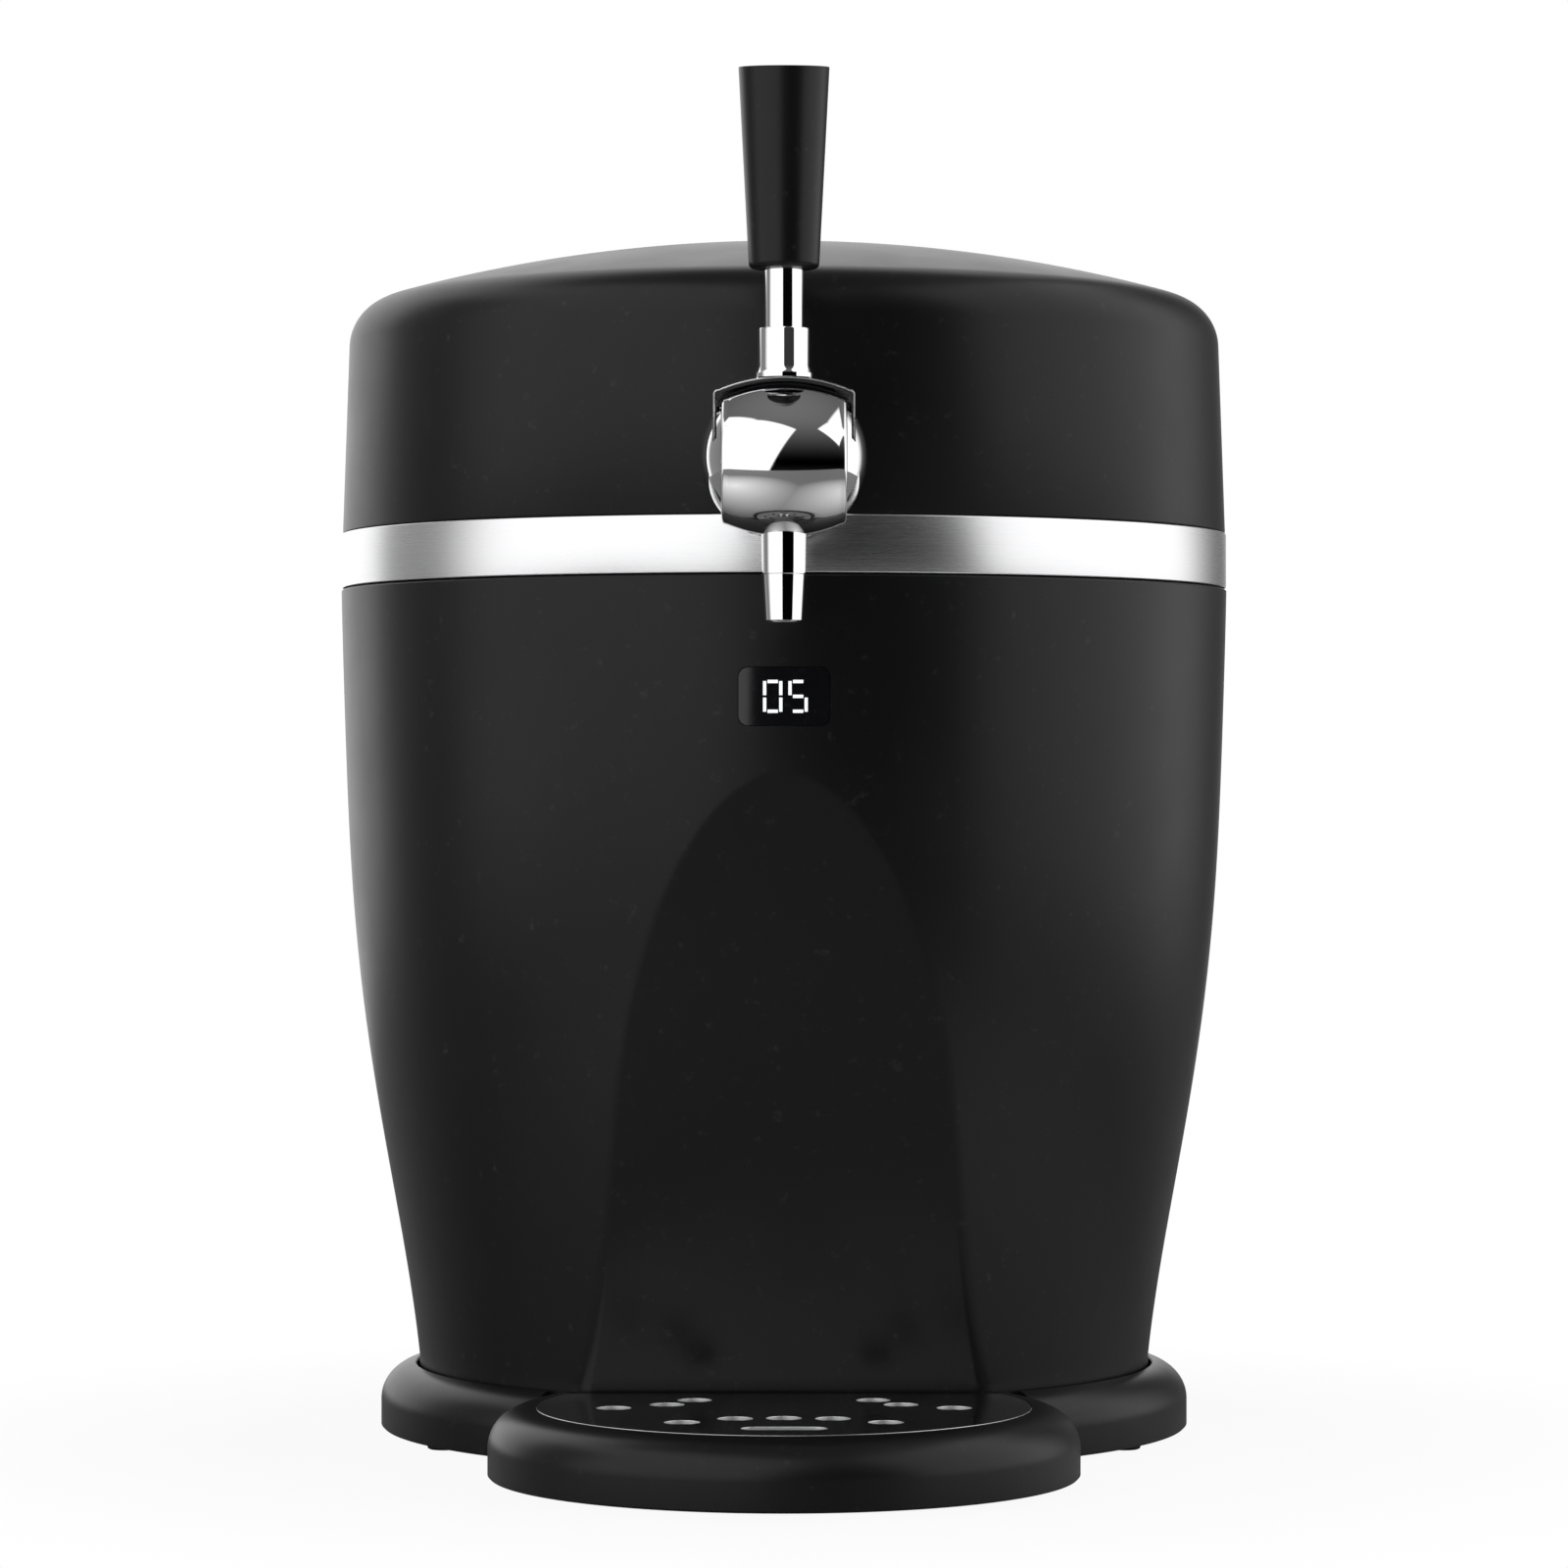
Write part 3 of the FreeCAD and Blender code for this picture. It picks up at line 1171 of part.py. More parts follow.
def lid_liner():
    flange = rod(SKIRT_IN_R - FIT, LID_LINER_T, V(0, 0, LID_BOTTOM))
    cup = rod(LID_WELL_OUT_R, WELL_TOP + LID_LINER_T - LID_BOTTOM, V(0, 0, LID_BOTTOM))
    top_edge = [e for e in cup.Edges if abs(e.BoundBox.ZMin - WELL_TOP - LID_LINER_T) < 0.01
                and abs(e.BoundBox.ZMax - WELL_TOP - LID_LINER_T) < 0.01]
    cup = cup.makeFillet(LID_WELL_CORNER + LID_LINER_T, top_edge)
    well = rod(LID_WELL_R, WELL_TOP - LID_BOTTOM + PAST, V(0, 0, LID_BOTTOM - PAST))
    well_edge = [e for e in well.Edges if abs(e.BoundBox.ZMin - WELL_TOP) < 0.01]
    well = well.makeFillet(LID_WELL_CORNER, well_edge)
    liner = fuse([flange, cup]).cut(well).cut(shank_hole())
    for angle in LID_SCREW_DEG:
        liner = liner.cut(rod(LID_SCREW_R + FIT, 2 * PAST, polar(LID_SCREW_PCR, angle, LID_BOTTOM - PAST)))
    return liner


def lid_foam():
    foam = lid_form(LID_WALL + FIT, LINER_FLANGE_TOP + FIT)
    foam = foam.common(rod(SKIRT_IN_R - FIT, LID_H, V(0, 0, LID_BOTTOM)))
    foam = foam.cut(rod(LID_WELL_OUT_R + FIT, WELL_TOP + LID_LINER_T + FIT - LID_BOTTOM, V(0, 0, LID_BOTTOM)))
    foam = foam.cut(shank_hole())
    for angle in LID_SCREW_DEG:
        foam = foam.cut(rod(LID_SCREW_R + FIT, LID_SCREW_L, polar(LID_SCREW_PCR, angle, LINER_FLANGE_TOP - EMBED)))
    return foam


def lid_gasket():
    return tube(LID_WELL_OUT_R + GASKET_W, LID_WELL_OUT_R, GASKET_T, V(0, 0, LID_BOTTOM - GASKET_T))


def lid_screws():
    screws = [screw(LID_SCREW_R, LID_SCREW_L, LID_SCREW_HEAD_R, LID_SCREW_HEAD_H,
                    polar(LID_SCREW_PCR, angle, LID_BOTTOM), UP) for angle in LID_SCREW_DEG]
    return Part.makeCompound(screws)


# ---- tap ---------------------------------------------------------------------------

def front_rod(radius, y_front, y_rear, z, x=0.0):
    """A cylinder along Y; y_front and y_rear are distances in front of the middle."""
    return rod(radius, y_front - y_rear, V(x, -y_front, z), REAR)


def tap_flange():
    disc = front_rod(FLANGE_R, FLANGE_FRONT_Y, LID_WELL_R, BALL_MID)
    rim = [e for e in disc.Edges if abs(e.BoundBox.YMax + FLANGE_FRONT_Y) < 0.01]
    disc = disc.makeFillet(FLANGE_EDGE, rim)
    return disc.cut(lid_outside()).cut(shank_hole())


def hood_sweep():
    """The room that the lever's hood needs through its whole swing."""
    back = -HOOD_BACK_DEG - SLOT_MARGIN_DEG
    front = HOOD_FRONT_DEG + LEVER_DEG + SLOT_MARGIN_DEG
    clear_r = HOOD_R + 2 * PAST
    outer = crowned_sector(HOOD_HALF_W + HOOD_PLAY, clear_r, clear_r - SWEEP_CROWN, HOOD_CORNER, back, front)
    inner_w = HOOD_HALF_W - HOOD_WALL - HOOD_PLAY
    core = crowned_sector(inner_w, CORE_R, CORE_SIDE_R, HOOD_CORNER, back - SLOT_MARGIN_DEG, front + SLOT_MARGIN_DEG)
    pivot = V(0, -NOSE_Y, NOSE_MID)
    hub_t = HOOD_WALL + 2 * HOOD_PLAY
    left = rod(HUB_R + FIT, hub_t, pivot - RIGHT * (HOOD_HALF_W + HOOD_PLAY), RIGHT)
    right = rod(HUB_R + FIT, hub_t, pivot + RIGHT * inner_w, RIGHT)
    spindle = rod(SPINDLE_R + RUN, 2 * inner_w, pivot - RIGHT * inner_w, RIGHT)
    return outer.cut(core), left, right, spindle


def beer_channel():
    """The way of the beer from the shank down and forward to the spout."""
    turn_y = SHANK_FRONT_Y + BEER_BORE_R + EMBED
    return [front_rod(SHANK_BORE_R, turn_y + BEER_BORE_R, SHANK_FRONT_Y - EMBED, BALL_MID),
            rod(BEER_BORE_R, BALL_MID - BEER_CHANNEL_Z, V(0, -turn_y, BEER_CHANNEL_Z)),
            front_rod(BEER_BORE_R, NOSE_Y, turn_y, BEER_CHANNEL_Z),
            rod(BEER_BORE_R, BEER_CHANNEL_Z - SPOUT_TOP, V(0, -NOSE_Y, SPOUT_TOP))]


def valve_shroud():
    """The black valve head between the hood and the nose."""
    ring = crowned_sector(SHROUD_HALF_W, SHROUD_R, SHROUD_SIDE_R, HOOD_CORNER, -SHROUD_BACK_DEG, SHROUD_FRONT_DEG)
    past = NOSE_SIDE_R / 2
    nose_room = crowned_sector(SHROUD_HALF_W + past, NOSE_R + FIT, NOSE_SIDE_R + FIT, NOSE_EDGE,
                              -NOSE_TURN, NOSE_TURN)
    return ring.cut(nose_room)


def tap_ball():
    ball = Part.makeSphere(BALL_R, V(0, -BALL_Y, BALL_MID))
    reach = 2 * BALL_R
    ball = ball.common(box(-reach, reach, -BALL_Y - reach, -FLANGE_FRONT_Y, BALL_MID - reach, BALL_MID + reach))
    nose_room = box(-NOSE_HALF_W - FIT, NOSE_HALF_W + FIT, -BALL_Y - reach, -NOSE_Y + NOSE_BACK,
                    BALL_MID - reach, BALL_MID + reach)
    ball = ball.cut(nose_room)
    for room in hood_sweep():
        ball = ball.cut(room)
    ball = ball.cut(valve_shroud())
    ball = ball.cut(front_rod(SHANK_R + FIT, SHANK_FRONT_Y, FLANGE_FRONT_Y - PAST, BALL_MID))
    spout_z = SPOUT_TOP - SPOUT_L
    ball = ball.cut(rod(SPOUT_TOP_R + FIT, SPOUT_L, V(0, -NOSE_Y, spout_z)))
    ball = ball.cut(rod(SPOUT_SPIGOT_R + FIT, SPOUT_SPIGOT_H, V(0, -NOSE_Y, SPOUT_TOP)))
    for bore in beer_channel():
        ball = ball.cut(bore)
    return ball


def tap_nose():
    nose = crowned_sector(NOSE_HALF_W, NOSE_R, NOSE_SIDE_R, NOSE_EDGE, 0, FULL_TURN)
    reach = 2 * BALL_R
    front = box(-reach, reach, -NOSE_Y - reach, -NOSE_Y + NOSE_BACK - FIT, NOSE_MID - reach, NOSE_MID + reach)
    nose = nose.common(front)
    spindle = rod(SPINDLE_R + RUN, 2 * reach, V(-reach, -NOSE_Y, NOSE_MID), RIGHT)
    socket = rod(SPOUT_SPIGOT_R + RUN, SPOUT_SPIGOT_H + PAST, V(0, -NOSE_Y, SPOUT_TOP - PAST))
    nose = nose.cut(spindle).cut(socket).cut(rod(SPOUT_TOP_R + RUN, PAST, V(0, -NOSE_Y, SPOUT_TOP - PAST)))
    for bore in beer_channel():
        nose = nose.cut(bore)
    return nose


def tap_spout():
    step = SPOUT_TOP - SPOUT_STEP_Z
    spigot_top = SPOUT_TOP + SPOUT_SPIGOT_H - SPOUT_STEP
    outline = [V(SPOUT_BORE_R, 0, spigot_top), V(SPOUT_SPIGOT_R, 0, spigot_top),
               V(SPOUT_SPIGOT_R, 0, SPOUT_TOP), V(SPOUT_TOP_R, 0, SPOUT_TOP), V(SPOUT_TOP_R - SPOUT_STEP, 0, step),
               V(SPOUT_TIP_R, 0, SPOUT_TIP), V(SPOUT_BORE_R, 0, SPOUT_TIP)]
    spout = turned(chain(outline + outline[:1]))
    spout.translate(V(0, -NOSE_Y, 0))
    return spout


def tap_shank():
    body = fuse([front_rod(SHANK_R, SHANK_FRONT_Y, SHANK_REAR_Y, BALL_MID),
                 front_rod(HOSE_BORE_R - RUN, SHANK_REAR_Y, SHANK_REAR_Y - BARB_L, BALL_MID)])
    bore = front_rod(COUPLER_BORE_R, SHANK_FRONT_Y + PAST, SHANK_REAR_Y - BARB_L - PAST, BALL_MID)
    return body.cut(bore)


def shank_nut():
    points = []
    for index in range(NUT_SIDES):
        angle = index * 2 * math.pi / NUT_SIDES
        points.append(V(NUT_AF_R * math.cos(angle), -LID_WELL_R + WASHER_T, BALL_MID + NUT_AF_R * math.sin(angle)))
    nut = extruded(points, REAR * NUT_T)
    return nut.cut(shank_hole(RUN))


def nut_washer():
    """A ring that fills the curve between the liner's wall and the nut."""
    disc = front_rod(NUT_AF_R + WASHER_OUT, LID_WELL_R, LID_WELL_R - WASHER_T, BALL_MID)
    well = rod(LID_WELL_R - RUN, LID_H, V(0, 0, LID_BOTTOM))
    return disc.common(well).cut(shank_hole(RUN))


def lever_hood():
    outer = crowned_sector(HOOD_HALF_W, HOOD_R, HOOD_SIDE_R, HOOD_CORNER, -HOOD_BACK_DEG, HOOD_FRONT_DEG)
    inner = crowned_sector(HOOD_HALF_W - HOOD_WALL, HOOD_R - HOOD_WALL, HOOD_SIDE_R - HOOD_WALL, HOOD_CORNER,
                           -HOOD_BACK_DEG - SLOT_MARGIN_DEG, HOOD_FRONT_DEG + SLOT_MARGIN_DEG)
    pivot = V(0, -NOSE_Y, NOSE_MID)
    hub = rod(HUB_R, HOOD_WALL, pivot - RIGHT * HOOD_HALF_W, RIGHT)
    far_hub = hub.translated(RIGHT * (2 * HOOD_HALF_W - HOOD_WALL))
    hood = fuse([outer.cut(inner), hub, far_hub])
    return hood.cut(rod(SPINDLE_R, 4 * HOOD_HALF_W, pivot - RIGHT * 2 * HOOD_HALF_W, RIGHT))


def valve_spindle():
    return rod(SPINDLE_R, 2 * HOOD_HALF_W, V(-HOOD_HALF_W, -NOSE_Y, NOSE_MID), RIGHT)


def on_lever(outline):
    """A turned piece that stands on the lever's axis."""
    piece = turned(chain(outline + outline[:1]))
    piece.translate(V(0, -NOSE_Y, 0))
    return piece


def lever_collar():
    bore = STEM_R - STEM_STEP
    foot = COLLAR_Z - COLLAR_SINK
    outline = [V(bore, 0, foot), V(COLLAR_FOOT_R, 0, foot), V(COLLAR_FOOT_R, 0, COLLAR_Z),
               V(COLLAR_R, 0, COLLAR_Z + COLLAR_FOOT_H), V(COLLAR_R, 0, STEM_Z - COLLAR_EDGE),
               V(COLLAR_R - COLLAR_EDGE, 0, STEM_Z),
               V(bore, 0, STEM_Z)]
    inside = crowned_sector(HOOD_HALF_W, HOOD_R, HOOD_SIDE_R, HOOD_CORNER, -HOOD_BACK_DEG, HOOD_FRONT_DEG)
    hood_end = NOSE_Y + (HOOD_R - COLLAR_SINK) * math.sin(math.radians(HOOD_FRONT_DEG))
    reach = 2 * COLLAR_FOOT_R
    over_rim = box(-reach, reach, -NOSE_Y - reach, -hood_end, foot - PAST, COLLAR_Z)
    return on_lever(outline).cut(inside).cut(over_rim)


def lever_stem():
    bore = STEM_R - STEM_STEP
    foot = COLLAR_Z + SKIN
    outline = [V(0, 0, foot), V(bore, 0, foot), V(bore, 0, STEM_Z), V(STEM_R, 0, STEM_Z),
               V(STEM_R, 0, STEM_Z + STEM_H), V(0, 0, STEM_Z + STEM_H)]
    return on_lever(outline)


def tap_grip():
    """A cone that widens upwards and is cut off on a slant, over the stem."""
    drop = GRIP_TOP_R * math.tan(math.radians(GRIP_SLANT_DEG))
    low_edge = GRIP_EDGE * GRIP_EDGE_SHARE
    spare = 2 * drop
    widening = (GRIP_TOP_R - GRIP_FOOT_R) / (GRIP_H - GRIP_EDGE)
    top = GRIP_Z + GRIP_H
    outline = [V(0, 0, GRIP_Z), V(GRIP_FOOT_R - GRIP_EDGE, 0, GRIP_Z), V(GRIP_FOOT_R - low_edge, 0, GRIP_Z + low_edge),
               V(GRIP_FOOT_R, 0, GRIP_Z + GRIP_EDGE), V(GRIP_TOP_R + spare * widening, 0, top + spare),
               V(0, 0, top + spare)]
    grip = on_lever(outline)
    hole = rod(STEM_R + RUN, STEM_IN_GRIP, V(0, -NOSE_Y, GRIP_Z))
    reach = 2 * GRIP_TOP_R
    slice_box = box(-reach, reach, -reach, reach, 0, GRIP_H)
    slice_box.rotate(V(0, 0, 0), RIGHT, GRIP_SLANT_DEG)
    slice_box.translate(V(0, -NOSE_Y, top - drop))
    return grip.cut(hole).cut(slice_box)


# ---- keg line inside the lid -------------------------------------------------------

def hose_route():
    """From the coupler's barb forward and down to the shank's barb."""
    start_y = -COUPLER_R - HOSE_END_GAP
    end_y = -SHANK_REAR_Y + HOSE_END_GAP
    return [V(0, start_y, COUPLER_BARB_Z), V(0, start_y - HOSE_RUN_OUT, COUPLER_BARB_Z),
            V(0, end_y + HOSE_RUN_IN, BALL_MID), V(0, end_y, BALL_MID)]


def beer_hose():
    return pipe(hose_route(), HOSE_R).cut(pipe(hose_route(), HOSE_BORE_R))


def hose_clips():
    clips = []
    for y, z in ((-COUPLER_R - CLIP_SET, COUPLER_BARB_Z), (-SHANK_REAR_Y + CLIP_SET + CLIP_W, BALL_MID)):
        band = tube(HOSE_R + CLIP_T, HOSE_R, CLIP_W, V(0, y - CLIP_W, z), REAR)
        ear = box(-CLIP_EAR_HALF_W, CLIP_EAR_HALF_W, y - CLIP_W, y, z + HOSE_R + CLIP_T / 2,
                  z + HOSE_R + CLIP_T + CLIP_EAR_H)
        clips.append(fuse([band, ear]))
    return Part.makeCompound(clips)


def keg_coupler():
    flange_z = WELL_TOP - COUPLER_FLANGE_T
    body_z = flange_z - COUPLER_H
    nose_z = body_z - COUPLER_NOSE_H
    pieces = [rod(COUPLER_FLANGE_R, COUPLER_FLANGE_T, V(0, 0, flange_z)), rod(COUPLER_R, COUPLER_H, V(0, 0, body_z)),
              rod(COUPLER_NOSE_R, COUPLER_NOSE_H, V(0, 0, nose_z)),
              rod(HOSE_BORE_R - RUN, BARB_L + COUPLER_R, V(0, -COUPLER_R - BARB_L, COUPLER_BARB_Z), REAR)]
    coupler = fuse(pieces)
    down_bore = rod(COUPLER_BORE_R, COUPLER_BARB_Z - nose_z + PAST, V(0, 0, nose_z - PAST))
    side_bore = rod(COUPLER_BORE_R, COUPLER_R + BARB_L + PAST, V(0, 0, COUPLER_BARB_Z), REAR * -1)
    return coupler.cut(down_bore).cut(side_bore)


def coupler_seal():
    foot = WELL_TOP - COUPLER_FLANGE_T - COUPLER_H - COUPLER_NOSE_H
    return tube(COUPLER_NOSE_R + SEAL_T, COUPLER_NOSE_R, SEAL_H, V(0, 0, foot + SEAL_UP))


# ---- drip tray ---------------------------------------------------------------------

def drip_tray():
    lobe = rounded_disc(TRAY_R, -TRAY_Y).cut(kept_floor(0, 0, BASE_TOP + PAST))
    basin_floor = BASE_Z + TRAY_FLOOR_T
    basin = rod(BASIN_R, BASE_H, V(0, -TRAY_Y, basin_floor)).cut(kept_floor(TRAY_WALL, 0, BASE_TOP + 2 * PAST))
    seat = rod(GRID_R + GRID_GAP, BASE_H, V(0, -TRAY_Y, SEAT_Z))
    return lobe.cut(basin).cut(seat)


def tray_pads():
    pads = []
    for angle in PAD_DEG:
        pads.append(rod(PAD_R, FOOT_OUT, polar(PAD_PCR, angle) - REAR * TRAY_Y))
    return Part.makeCompound(pads)


def grid_holes():
    """Three spokes of round holes; those past the plate's straight back edge are left out."""
    back_limit = TRAY_Y - TRAY_BACK - GRID_HOLE_R - GRID_EDGE_MARGIN
    places = []
    for spoke in GRID_SPOKES:
        for radius, spread in GRID_RINGS:
            for angle in sorted({spoke - spread, spoke + spread}):
                spot = polar(radius, angle)
                if spot.y < back_limit:
                    places.append(spot - REAR * TRAY_Y)
    return places


def drip_grid():
    plate = rod(GRID_R, GRID_T, V(0, -TRAY_Y, SEAT_Z))
    plate = plate.cut(box(-GRID_R, GRID_R, -TRAY_BACK - GRID_BACK_GAP, BASE_R, 0, BASE_TOP))
    for place in grid_holes():
        plate = plate.cut(rod(GRID_HOLE_R, BASE_H, place + UP * BASE_Z))
    half = GRID_SLOT_L / 2 - GRID_SLOT_W / 2
    y = -TRAY_Y - GRID_SLOT_Y
    slot = fuse([box(-half, half, y - GRID_SLOT_W / 2, y + GRID_SLOT_W / 2, BASE_Z, BASE_TOP),
                 rod(GRID_SLOT_W / 2, BASE_H, V(-half, y, BASE_Z)),
                 rod(GRID_SLOT_W / 2, BASE_H, V(half, y, BASE_Z))])
    return plate.cut(slot)


# ---- write every sub-part ----------------------------------------------------------

os.makedirs("parts", exist_ok=True)

PIECES = (base_ring, base_plate, rubber_feet, base_screws, lower_shell, top_rim, keg_liner, foam_jacket,
          chamber_deck, temperature_probe, fan_frame, fan_rotor, fan_shaft, fan_screws, heat_sink,
          peltier_module, cold_plate, sink_screws, power_board, power_parts, power_lead, display_lead,
          display_window, display_digits, control_board, mains_inlet, inlet_pins, switch_frame,
          power_rocker, hinge_bracket, hinge_leaf, hinge_pin, bracket_screws, leaf_screws, lid_shell,
          lid_band, lid_liner, lid_foam, lid_gasket, lid_screws, tap_flange, tap_ball, tap_nose,
          valve_shroud, tap_spout, tap_shank, shank_nut, nut_washer, lever_hood, valve_spindle, lever_collar,
          lever_stem, tap_grip, beer_hose, hose_clips, keg_coupler, coupler_seal, drip_tray,
          tray_pads, drip_grid)

for piece in PIECES:
    save(piece.__name__, piece())
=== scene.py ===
"""Looks of a countertop mini keg dispenser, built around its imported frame.

Metres, in the frame's own axes: +Z up, -Y to the front with the tap, +X to the right of
someone who faces the front. Heights and distances that the frame knows are read from it.
"""

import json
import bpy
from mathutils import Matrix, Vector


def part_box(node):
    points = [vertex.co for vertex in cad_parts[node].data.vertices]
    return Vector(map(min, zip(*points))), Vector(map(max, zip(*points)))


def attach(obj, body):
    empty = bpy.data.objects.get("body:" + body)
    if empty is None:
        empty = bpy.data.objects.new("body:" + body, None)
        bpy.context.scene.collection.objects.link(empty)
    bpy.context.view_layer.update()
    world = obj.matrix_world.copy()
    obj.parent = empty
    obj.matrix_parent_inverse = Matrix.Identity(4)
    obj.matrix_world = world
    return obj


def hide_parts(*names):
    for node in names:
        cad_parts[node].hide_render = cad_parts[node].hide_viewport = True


bl_info = {
    "name": "Mini Keg Dispenser",
    "version": (1, 0, 0),
    "blender": (4, 5, 0),
    "location": "3D View > Sidebar > Dispenser",
    "description": "Dresses the frame of a countertop mini keg dispenser",
    "category": "Add Mesh",
}

from math import acos, asin, atan2, cos, pi, radians, sin, sqrt, tan

import bmesh
import bpy
from bpy.props import FloatProperty, FloatVectorProperty, IntProperty, PointerProperty
from mathutils import Matrix, Vector

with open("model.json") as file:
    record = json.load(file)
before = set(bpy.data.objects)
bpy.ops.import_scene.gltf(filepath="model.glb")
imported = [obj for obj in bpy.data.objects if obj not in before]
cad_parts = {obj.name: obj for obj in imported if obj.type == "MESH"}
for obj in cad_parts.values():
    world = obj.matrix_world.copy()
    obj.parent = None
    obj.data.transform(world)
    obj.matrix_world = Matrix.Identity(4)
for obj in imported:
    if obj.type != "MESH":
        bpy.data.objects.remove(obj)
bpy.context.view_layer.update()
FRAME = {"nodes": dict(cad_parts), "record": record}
NODES = FRAME["nodes"]
BODY_OF = {node: body for body, members in FRAME["record"]["behaviour"]["bodies"].items() for node in members}
SLOT_OF = {part["node"]: part["material_slot"] for part in FRAME["record"]["subparts"]}
MM = 0.001


def low(node):
    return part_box(node)[0]


def high(node):
    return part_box(node)[1]


def mid(node):
    return (low(node) + high(node)) / 2


# ---- places read from the frame ----

KEG_Y = mid("keg_liner").y
SHELL_TOP = high("lower_shell").z
SHELL_LOW = low("lower_shell").z
BASE_TOP = high("base_ring").z
BASE_LOW = low("base_ring").z
BAND_LOW = low("lid_band").z
BAND_HIGH = high("lid_band").z
LID_TOP = high("lid_shell").z
TAP_Y = mid("tap_spout").y
BALL_Z = mid("tap_flange").z
TRAY_R = high("drip_tray").x
# From the keg's axis to the tray's middle
TRAY_MID = low("drip_tray").y + TRAY_R - KEG_Y
GRID_LOW = low("drip_grid").z
GRID_HIGH = high("drip_grid").z

# ---- the frame's sizes that its boxes don't show ----

# The barrel's radius as a polynomial of the share of its height above the base
BARREL = (113.552, 25.163, 77.865, -93.728, -121.615, 228.708, -92.099)
SHELL_WALL = 2.5 * MM
# The recess wall's curve, seen from the side
RECESS_R = 2267.4 * MM
RECESS_CENTRE_Y = 2097.4 * MM
RECESS_CENTRE_Z = 594.3 * MM
# The body's foot, which ring and tray leave free: its radius, and how far the tray's rear is in front of the axis
KEEP_R = 114.5 * MM
TRAY_BACK = 98.3 * MM
# The pocket at the rear; its rim lies a little inside the barrel's skin
POCKET_RIM = 0.6 * MM
POCKET_WALL = 2.3 * MM
POCKET_HALF_W = 34 * MM
POCKET_LOW = 25.5 * MM
POCKET_HIGH = 47.5 * MM
POCKET_Y = 104 * MM
# The slots on each side of the pocket; their bearings count from the rear, in degrees
VENT_HALF_W = 1.6 * MM
VENT_LOW = 28 * MM
VENT_HIGH = 45 * MM
VENT_FIRST = 24
VENT_STEP = 6
LID_R = 137.4 * MM
SHOULDER_R = 15.4 * MM
DOME_R = 453.5 * MM
DRAFT = radians(2)
PIVOT_Y = TAP_Y - KEG_Y
PIVOT_Z = 291.0 * MM
BALL_R = 23.6 * MM
BALL_Y = -162 * MM
BALL_FOOT = 271.7 * MM
BASE_R = high("base_ring").x
BASE_SIDE_TOP = 10.4 * MM
RIM_REACH = 12.2 * MM
RING_WALL = 2.5 * MM
PLATE_TOP = 4.5 * MM
FOOT_EDGE = 0.6 * MM
RIM_EDGE = 0.35 * MM
FIT = 0.15 * MM
TRAY_GAP = 0.5 * MM
# Share of the tray's rounded rim that the ring's ends reach over
RING_OVER_TRAY = 0.45
TRAY_FLOOR = 5 * MM
TRAY_WALL = 2.5 * MM
TRAY_STEPS = 320
RIM_TOP = GRID_HIGH - 0.1 * MM
SEAT_W = 3.3 * MM
GRID_R = high("drip_grid").x
GRID_HOLE_R = 5 * MM
# Radius of each ring of holes, and how far its holes stand off the spokes, in degrees
GRID_RINGS = ((30 * MM, 0), (34 * MM, 24), (49.2 * MM, 35.6))
GRID_SPOKES = (-90, 30, 150)
# The finger slot, measured from the plate's middle towards the front
SLOT_HALF_W = 12 * MM
SLOT_NEAR = 50.7 * MM
SLOT_FAR = 58.3 * MM
BAND_R = high("lid_band").x
BAND_T = 2 * MM
LID_FOOT = BAND_HIGH + FIT
LID_WALL = 2.5 * MM
FLANGE_R = 22.7 * MM
FLANGE_FRONT = -147 * MM
# Sectors about the pivot: half width, radius in the middle, radius at the sides, corner
NOSE = (17.6 * MM, 20.15 * MM, 16.8 * MM, 1.1 * MM)
# Above this angle from upright the nose's front runs flatter, for so many degrees, up to its brow
BROW_DEG = 54
BROW_TURN = 20
BROW_R = 38 * MM
HOOD = (19.95 * MM, 25.2 * MM, 21.4 * MM, 1.6 * MM)
HOOD_SIDE = 0.8 * MM
HOOD_CROWN = 1.4 * MM
HOOD_SKIN = 0.5 * MM
HOOD_CENTRE = (PIVOT_Y + 3.1 * MM, PIVOT_Z + 0.7 * MM)
HOOD_BACK = -28
HOOD_FRONT = 19.5
HOOD_PLAY = 0.2 * MM
# The slot in the ball that the hood sweeps through, and the shroud, in degrees from upright
SWEEP = (-37, 50)
SHROUD_TURN = (-20, 8)
CORE = (18.95 * MM, 23.3 * MM, 19.3 * MM, 1.2 * MM)
SHROUD = (18.0 * MM, 22.8 * MM, 19.0 * MM, 1.2 * MM)
HUB_R = 5 * MM
SPOUT_R = 6.4 * MM
SPOUT_TOP_Z = 271.85 * MM
COLLAR_TOP_Z = PIVOT_Z + 38.4 * MM
STEM_R = 5.5 * MM
STEM_ROOT_R = 4 * MM
GRIP_TILT = radians(5)
# What cutters reach to: past every edge of the tap or the tray, and from below the base to above it
FAR = 0.1
UNDER = -0.01
OVER = 0.05


# ---- settings ----

def colour_of(name, description, *default):
    return FloatVectorProperty(name=name, description=description, subtype="COLOR", size=3, min=0, max=1,
                               default=default)


def length_of(name, description, default, least, most):
    return FloatProperty(name=name, description=description, default=default, min=least, max=most,
                         unit="LENGTH", subtype="DISTANCE")


class BodySettings(bpy.types.PropertyGroup):
    colour: colour_of("Plastic", "Colour of the black shells", 0.0042, 0.0042, 0.0045)
    roughness: FloatProperty(name="Roughness", description="How satin the shells are", min=0, max=1,
                             default=0.33, subtype="FACTOR")
    recess_edge: length_of("Recess edge", "Radius of the glass recess's rounded edge", 8 * MM, 0.5 * MM, 30 * MM)
    steps: IntProperty(name="Steps", description="Facets round the shells", min=64, max=512, default=384)


